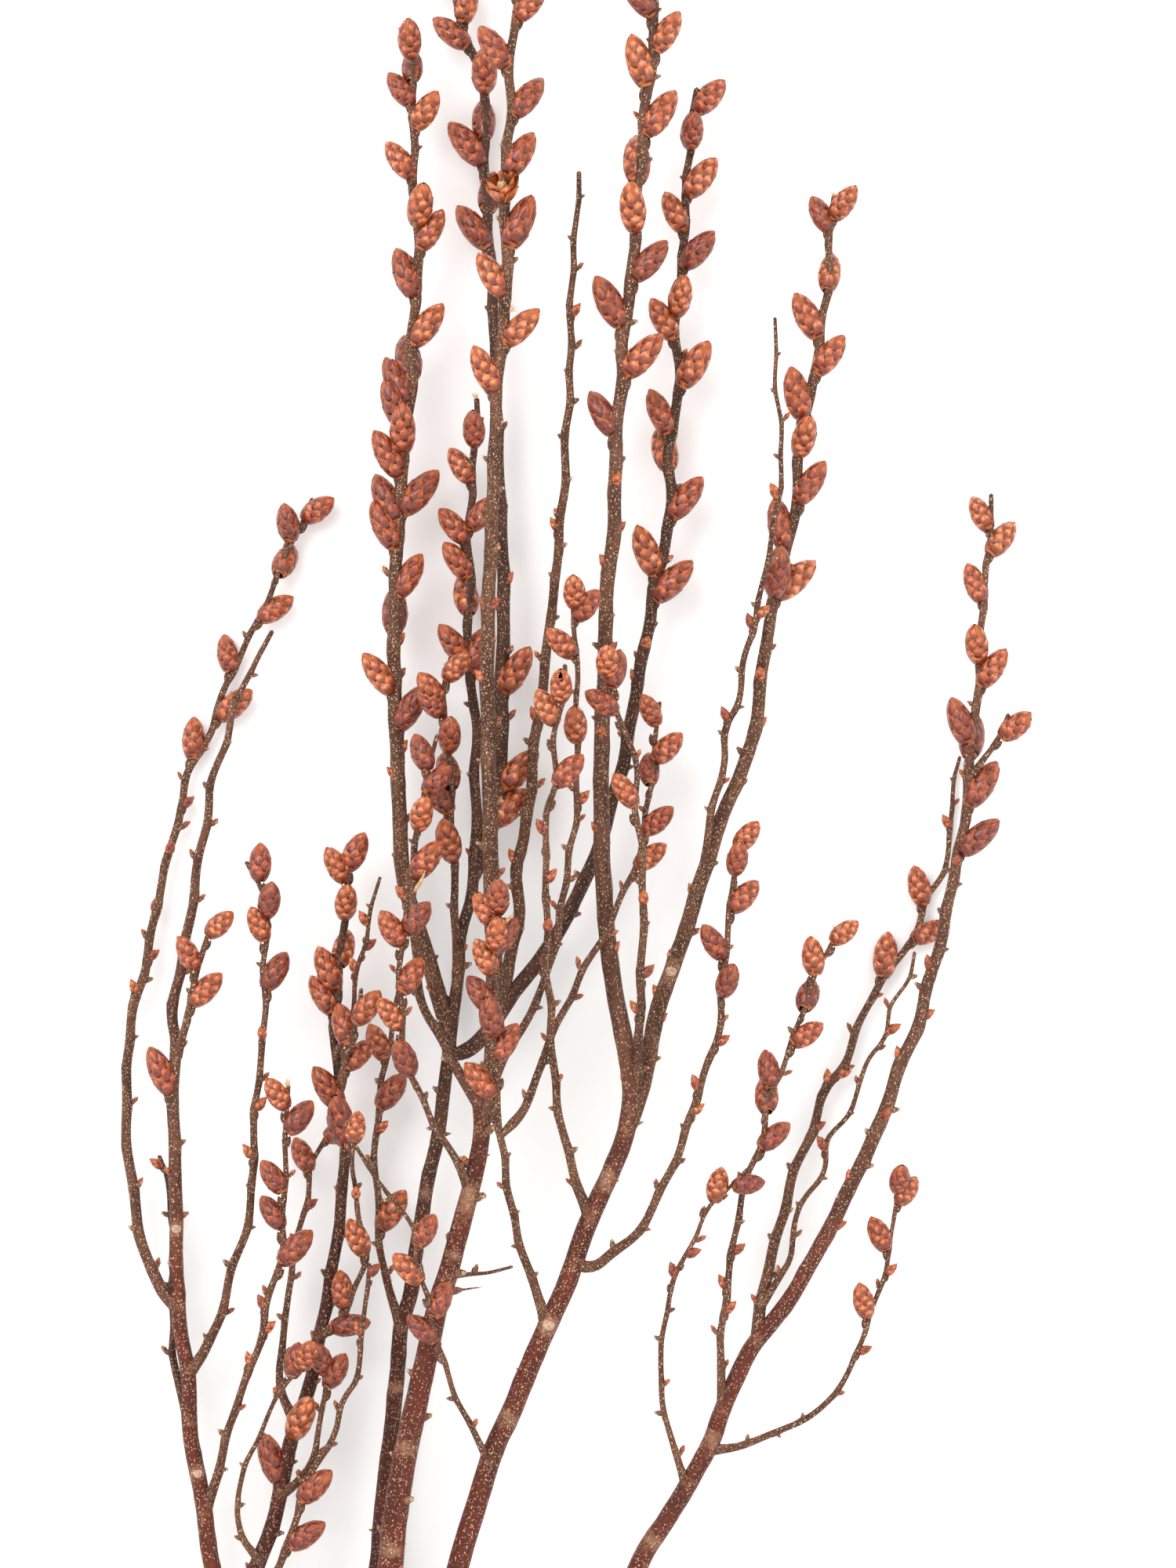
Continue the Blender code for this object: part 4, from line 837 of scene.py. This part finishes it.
# small things seen on the bark, as (kind, x, y, bearing from +X in degrees, rise, length)
details = dict(
    main_stem=(("stub", -21.4, 45.0, 8, 0.1, 5.6), ("spike", -31.4, 4.1, -20, 0.3, 0.9),
               ("spike", -15.6, 68.4, 20, 0.4, 1.2)),
    back_limb=(("spike", -36.2, 6.2, 165, 0.3, 1.1), ("spike", -22.6, 71.3, 10, 0.3, 1.5),
               ("dry", -18.7, 194.0, 100, 0.2, 1.6), ("dry", -18.9, 188.8, 150, 0.3, 2.0)),
    right_centre_limb=(("spike", -10.9, 32.9, 140, 0.2, 0.9), ("spike", 5.2, 63.4, 15, 0.3, 1.3),
                       ("scar", -7.2, 40.8, 60, 5.0, 2.2)),
    right_tall_twig=(("scar", 14.3, 99.1, 80, 5.0, 1.9), ("spike", 8.9, 73.4, 15, 0.2, 1.6),
                     ("spike", 5.4, 79.9, 165, 0.2, 1.6), ("rosette", 36.0, 164.0, 40, 0.6, 2.0),
                     ("dry", 17.8, 245.6, 95, 0.1, 1.2)),
    left_tall_twig=(("stub", -32.6, 195.5, 145, 0.4, 3.0), ("dry", -29.8, 256.5, 95, 0.1, 1.5)),
    low_limb=(("dry", -42.0, 122.0, 95, 0.1, 1.6),),
    left_low_twig=(("dry", -52.5, 84.0, 100, 0.1, 1.6),),
    front_twig=(("leaf", -13.4, 110.5, 72, 0.5, 4.2), ("leaf", -14.4, 106.0, 35, 0.7, 4.2)),
    left_arm_twig=(("leaf", -26.8, 112.0, 50, 0.5, 4.4),),
    middle_spray=(("dry", -28.5, 150.0, 95, 0.1, 1.6),),
    right_red_spray=(("dry", 41.0, 107.0, 80, 0.1, 1.6),),
    tall_front_stem=(("dry", -13.4, 208.6, 20, 0.3, 1.8),),
    left_limb=(("scar", -68.2, 56.4, 90, 5.0, 1.7), ("scar", -65.4, 15.8, 90, 5.0, 1.7)),
)


# a place of its own on the bark's pattern
def somewhere(draw):
    return draw.uniform(0, 300), 0, 0


# the bark of one twig, with its knobs' places worked out on the way
def addStem(gather, twig, draw, parent):
    shape = stemShape
    route, run = smoothRoute(twig["points"], shape["ring"], shape["fine"])
    radius = np.interp(run, twig["run"] * run[-1] / twig["run"][-1], twig["radius"])
    foot = twig["radius"][0]
    columns = shape["thickSides" if foot > shape["thick"] else
                    "middleSides" if foot > shape["middle"] else "thinSides"]
    along = np.gradient(route, axis=0)
    along /= np.linalg.norm(along, axis=1)[:, None]
    across = np.cross(along, (0, 0, 1))
    across /= np.linalg.norm(across, axis=1)[:, None]
    upward = np.cross(across, along)

    # small knobs to either side by turns, with a slight bend at each
    knobs = []
    at = knobShape["every"] * draw.uniform(0.7, 1.3) + foot
    side = draw.choice((-1, 1))
    while at < run[-1] - knobShape["bareTip"]:
        knobs.append((at, side, draw.uniform(-knobShape["tilt"], knobShape["tilt"])))
        side = -side
        at += knobShape["every"] + draw.uniform(-knobShape["spread"], knobShape["spread"])
    thin = np.clip(shape["bendBelow"] - radius, 0.15, 1.0)
    if knobs:
        bends = np.interp(run, [0] + [knob[0] for knob in knobs] + [run[-1]],
                          [0] + [knob[1] * shape["zigzag"] for knob in knobs] + [0])
        route = route + across * (bends * thin)[:, None]

    # swollen joints, and a collar at the fork
    perRing = twig["run"][1] / (run[1] - run[0])
    joints = [knob[0] for knob in knobs] + [run[min(len(run) - 1, int(growth["at"] * perRing))]
                                            for growth in twig["growths"]]
    swell = np.zeros(len(run))
    for joint in joints:
        swell += np.exp(-((run - joint) / shape["nodeLength"]) ** 2)
    radius = radius * (1 + shape["nodeSwell"] * np.minimum(swell, shape["fullSwell"]) * thin)
    if parent:
        flare = shape["collar"] * float(np.clip((1.2 - foot) / 0.6, 0.1, 1))
        radius = radius * (1 + flare * np.exp(-run / (shape["collarLength"] + foot)))
        nearest = np.argmin(np.linalg.norm(parent["points"] - route[0], axis=1))
        radius = np.minimum(radius, parent["radius"][nearest] * shape["footFill"] + run * shape["footSlope"])

    # rough pale bark at the marked places and round the forks
    patch = np.zeros(len(run))
    for x, y, half in roughPlaces.get(twig["name"], ()):
        at = run[np.argmin(np.hypot(route[:, 0] - x, route[:, 1] - y))]
        patch += np.exp(-((run - at) / half) ** 2)
    for root in twig["forks"]:
        at = run[np.argmin(np.linalg.norm(route - root, axis=1))]
        patch += shape["forkPatch"] * np.exp(-((run - at) / shape["forkLength"]) ** 2)
    if parent:
        patch += shape["forkPatch"] * np.exp(-run / shape["collarLength"])

    offset = draw.uniform(0, 300)
    circle = np.array(ringPoints(1, columns, 0))
    points, place = [], []
    for number in range(len(run)):
        for c, s, _ in circle:
            spot = (c * 0.8 + offset, s * 0.8, run[number] * 0.35)
            r = radius[number] * (1 + shape["wander"] * noise.noise(spot))
            points.append(route[number] + (across[number] * c + upward[number] * s) * r)
            place.append((c * radius[number] + offset, s * radius[number], run[number]))
    points.append(route[-1] + along[-1] * radius[-1] * shape["tipLength"])
    place.append((offset, 0, run[-1] + 1))
    faces = bandFaces(0, len(run) - 1, columns)
    faces += fanFaces((len(run) - 1) * columns, columns, len(points) - 1)

    redBelow = shape["redTops"].get(twig["name"], shape["redBelow"])
    age = np.clip((redBelow - np.array(points)[:, 1]) / shape["redFade"], 0, 1)
    above = shape["underside"] + (1 - shape["underside"]) * np.maximum(circle[:, 1], 0)
    rough = np.append(np.outer(np.minimum(patch, 1), above).ravel(), 0)
    gather.add(points, faces, onBark, place, age * np.clip((foot - 0.5) / 0.8, 0.15, 1), rough)
    cut = onBark if parent else onCut  # only the butt shows the pale cut
    gather.add(points[:columns], [tuple(range(columns - 1, -1, -1))], cut, place[:columns], 0)
    twig["fine"] = dict(route=route, run=run, radius=radius, across=across, upward=upward, along=along)
    return knobs


# a small lump: rings of a ball, drawn out along its axis
def lump(axis, length, width, rings=4, columns=7, point=0.0):
    points = [(0, 0, -0.3 * length)]
    for ring in range(1, rings + 1):
        share = ring / (rings + 1)
        radius = math.sin(math.pi * share**0.85) ** 0.8 * width / 2 * (1 - point * share)
        points += ringPoints(radius, columns, (share * 1.3 - 0.3) * length)
    points.append((0, 0, length))
    faces = [(0, 1 + (column + 1) % columns, 1 + column) for column in range(columns)]
    faces += bandFaces(1, rings - 1, columns)
    faces += fanFaces(1 + (rings - 1) * columns, columns, len(points) - 1)
    return np.array(points) @ turnedTo(axis, 0).T, faces


# knobs of old buds: a lump of bark with a scar, and on some a tiny bud
def addKnobs(gather, twig, knobs, draw):
    shape, fine = knobShape, twig["fine"]
    taken = [growth["at"] * twig["run"][1] for growth in twig["growths"]]
    for at, side, tilt in knobs:
        if twig["radius"][0] > shape["smoothWood"] and at < shape["smoothShare"] * fine["run"][-1]:
            continue
        if taken and min(abs(at - other) for other in taken) < shape["clear"]:
            continue
        number = int(np.argmin(abs(fine["run"] - at)))
        along, radius = fine["along"][number], fine["radius"][number]
        out = fine["across"][number] * side * math.cos(tilt) + fine["upward"][number] * math.sin(tilt)
        foot = fine["route"][number] + out * radius * 0.72
        size = shape["size"] * draw.uniform(0.75, 1.25) * (0.7 + 0.35 * min(radius, 1.2))
        size *= 1 if taken else shape["deadWood"]
        points, faces = lump(out * 0.8 + along * 0.5, size * shape["length"], size * shape["width"],
                             point=shape["point"])
        gather.add(points + foot, faces, onBark, points + somewhere(draw), 0, shape["patch"])
        end = foot + out * size * 0.75 + along * size * 0.42
        points, faces = lump(out, size * 0.40, size * 0.55)
        gather.add(points + end, faces, onScar, points + draw.uniform(0, 90), 0)
        if draw.random() < shape["budShare"]:
            points, faces, place = draw.choice(budKinds)
            turn = turnedTo((out + along) * 0.75, draw.uniform(0, 360))
            small = np.array(shape["bud"]) * draw.uniform(0.8, 1.2)
            tip = foot + (out + along) * size * 0.35
            gather.add((points * small) @ turn.T + tip, faces, onScale, place, draw.random())


# the shoulder of bark that a catkin or bud stands on, with the pale scar of its leaf
def addShoulders(gather, twig, draw):
    shape, fine = shoulderShape, twig["fine"]
    spacing = fine["run"][-1] / (len(fine["run"]) - 1)
    for growth in twig["growths"]:
        number = min(len(fine["run"]) - 1, int(round(growth["at"] * twig["run"][1] / spacing)))
        radius = fine["radius"][number]
        out, along = growth["out"], fine["along"][number]
        size = shape["catkin" if growth["catkin"] else "bud"] + shape["girth"] * min(radius, shape["thickest"])
        foot = fine["route"][number] + out * radius * 0.35 - along * size * 0.9
        points, faces = lump(along + out * shape["lean"], size * shape["length"], size * shape["width"],
                             rings=5, columns=8)
        gather.add(points + foot, faces, onBark, points + somewhere(draw), 0)
        scar = foot + out * size * shape["lean"] + along * size * 0.62
        points, faces = lump(out + along * 0.25, size * shape["scarLength"], size * shape["scarWidth"])
        gather.add(points + scar, faces, onScar, points + draw.uniform(0, 90), 0)


# stubs, spikes, scars and dry leaves at the places where the bark has them
def addDetails(gather, twig, draw):
    fine = twig["fine"]
    for kind, x, y, bearing, rise, length in details.get(twig["name"], ()):
        number = int(np.argmin(np.hypot(fine["route"][:, 0] - x, fine["route"][:, 1] - y)))
        turn = math.radians(bearing)
        axis = np.array((math.cos(turn), math.sin(turn), rise))
        axis /= np.linalg.norm(axis)
        beside = axis - fine["along"][number] * (axis @ fine["along"][number])
        foot = fine["route"][number] + beside * fine["radius"][number] * 0.8
        shift = somewhere(draw)
        if kind == "stub":  # a dead stump with a thin dry twig
            points, faces = lump(axis, length * 0.45, 1.7, point=0.3)
            gather.add(points + foot, faces, onBark, points + shift, 0, 0.7)
            points, faces = lump(axis, length, 0.42, rings=6)
            gather.add(points + foot, faces, onBark, points + shift, 0, 0.3)
        elif kind == "spike":
            points, faces = lump(axis, length, length * 0.8, point=0.75)
            gather.add(points + foot, faces, onBark, points + shift, 0, 0.8)
        elif kind == "leaf":  # one dry leaf, curled to its left
            points, faces = lump(axis, length, 1.0, rings=6, point=0.5)
            points += np.outer((points @ axis / length) ** 2, (-axis[1], axis[0], 0.5)) * length * 0.22
            gather.add(points + foot, faces, onStraw, points + draw.uniform(0, 90), 0)
        elif kind == "scar":
            points, faces = lump(axis, length * 0.3, length, rings=5, columns=10)
            gather.add(points + foot, faces, onScar, points + draw.uniform(0, 90), 0)
        elif kind == "dry":  # a tuft of three husks
            for bend in (-0.5, 0.0, 0.5):
                lean = axis + np.array((-axis[1], axis[0], draw.uniform(-0.3, 0.5))) * bend
                points, faces = lump(lean, length * draw.uniform(0.6, 1.0), 0.55, point=0.6)
                gather.add(points + foot, faces, onStraw, points + draw.uniform(0, 90), 0)
        else:  # a rosette of open scales
            points, faces, place = draw.choice(openKinds)
            points = (points * length) @ turnedTo(axis, draw.uniform(0, 360)).T
            gather.add(points + foot, faces, onScale, place, 1)


# the catkins of a twig, or its side buds
def addGrowths(gather, twig, draw, finish, catkins):
    for growth in twig["growths"]:
        if growth["catkin"] != catkins:
            continue
        foot = twig["points"][growth["at"]]
        turn = turnedTo(growth["axis"], growth["spin"])
        kind = draw.choice(catkinKinds if catkins else budKinds)
        stretch = np.array((growth["width"], growth["width"], growth["length"]))
        stretch = stretch * (1 if catkins else stemShape["budSize"])
        tint = draw.random()
        if catkins and twig["name"] == tornCatkin["stem"] and math.dist(
                foot[:2], tornCatkin["place"]) < tornCatkin["near"]:
            kind, tint = openKinds[0], 1
            stretch = stretch * tornCatkin["size"]
            points, faces = lump(turn[:, 2], stretch[2] * 0.8, stretch[0] * 0.6)
            gather.add(points + foot, faces, onSprayStraw, points, 0)
        points, faces, place = kind
        gather.add((points * stretch) @ turn.T + foot, faces, finish, place, tint)


def placePiece(name, gather, finishes, node):
    piece = makePiece(name, gather, finishes)
    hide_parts(node)


for order, twig in enumerate(plant):
    twig["forks"] = [other["points"][0] for other in plant if other["parent"] == order]

for order, twig in enumerate(plant):
    name = twig["name"]
    draw = random.Random(500 + order)
    bark = "red" if name in redStems else "dark" if name in darkStems else "brown"
    stem = Gather()
    knobs = addStem(stem, twig, draw, None if twig["parent"] is None else plant[twig["parent"]])
    addKnobs(stem, twig, knobs, draw)
    addShoulders(stem, twig, draw)
    addDetails(stem, twig, draw)
    addGrowths(stem, twig, draw, onScale, catkins=False)
    stemFinishes = (barks[bark], scarFinish, scaleFinish, cutFinish, strawFinish)
    placePiece(name + ".stem", stem, stemFinishes, name)
    if any(growth["catkin"] for growth in twig["growths"]):
        spray = Gather()
        addGrowths(spray, twig, draw, onSprayScale, catkins=True)
        placePiece(name + ".catkins", spray, (scaleFinish, strawFinish), name)
print("twigs and catkins made")

# floor, light and camera: aimX, aimY, focus and floorDrop are in mm, the rest in metres
studio = dict(frameHeight=0.260, distance=2.5, aimX=2.050, aimY=46.986, focus=15.0, sensor=36.0,
              floor=(0.95, 0.945, 0.935), floorRoughness=0.9, floorHalf=3.0, floorDrop=0.2, sky=1.32)
floorMesh = bpy.data.meshes.new("floor")
floorMesh.from_pydata([(x * studio["floorHalf"], y * studio["floorHalf"], 0)
                       for x, y in ((-1, -1), (1, -1), (1, 1), (-1, 1))], [], [(0, 1, 2, 3)])
floor = bpy.data.objects.new("floor", floorMesh)
bpy.context.scene.collection.objects.link(floor)
floor.location.z = -studio["floorDrop"] * mm
floorFinish, floorShader = newFinish("paleFloor", studio["floorRoughness"])
floorShader.inputs["Base Color"].default_value = (*studio["floor"], 1)
floorMesh.materials.append(floorFinish)

world = bpy.data.worlds.new("studio")
bpy.context.scene.world = world
world.use_nodes = True
sky = world.node_tree.nodes["Background"]
sky.inputs["Color"].default_value = (1, 1, 1, 1)
sky.inputs["Strength"].default_value = studio["sky"]

lamps = (
    dict(name="key", place=(-0.7, 0.9, 1.5), size=1.0, power=14.0),
    dict(name="fill", place=(1.2, -0.3, 1.3), size=1.4, power=4.0),
)
for lamp in lamps:
    lampData = bpy.data.lights.new(lamp["name"], "AREA")
    lampData.size = lamp["size"]
    lampData.energy = lamp["power"]
    light = bpy.data.objects.new(lamp["name"], lampData)
    light.location = lamp["place"]
    light.rotation_euler = (-Vector(lamp["place"])).to_track_quat("-Z", "Y").to_euler()
    bpy.context.scene.collection.objects.link(light)

cameraData = bpy.data.cameras.new("camera")
camera = bpy.data.objects.new("camera", cameraData)
camera.location = (studio["aimX"] * mm, studio["aimY"] * mm, studio["distance"] + studio["focus"] * mm)
cameraData.sensor_fit = "VERTICAL"
cameraData.sensor_height = studio["sensor"]
cameraData.lens = studio["sensor"] * studio["distance"] / studio["frameHeight"]
bpy.context.scene.collection.objects.link(camera)
bpy.context.scene.camera = camera
bpy.context.scene.view_settings.view_transform = "Standard"
print("floor, light and camera set")
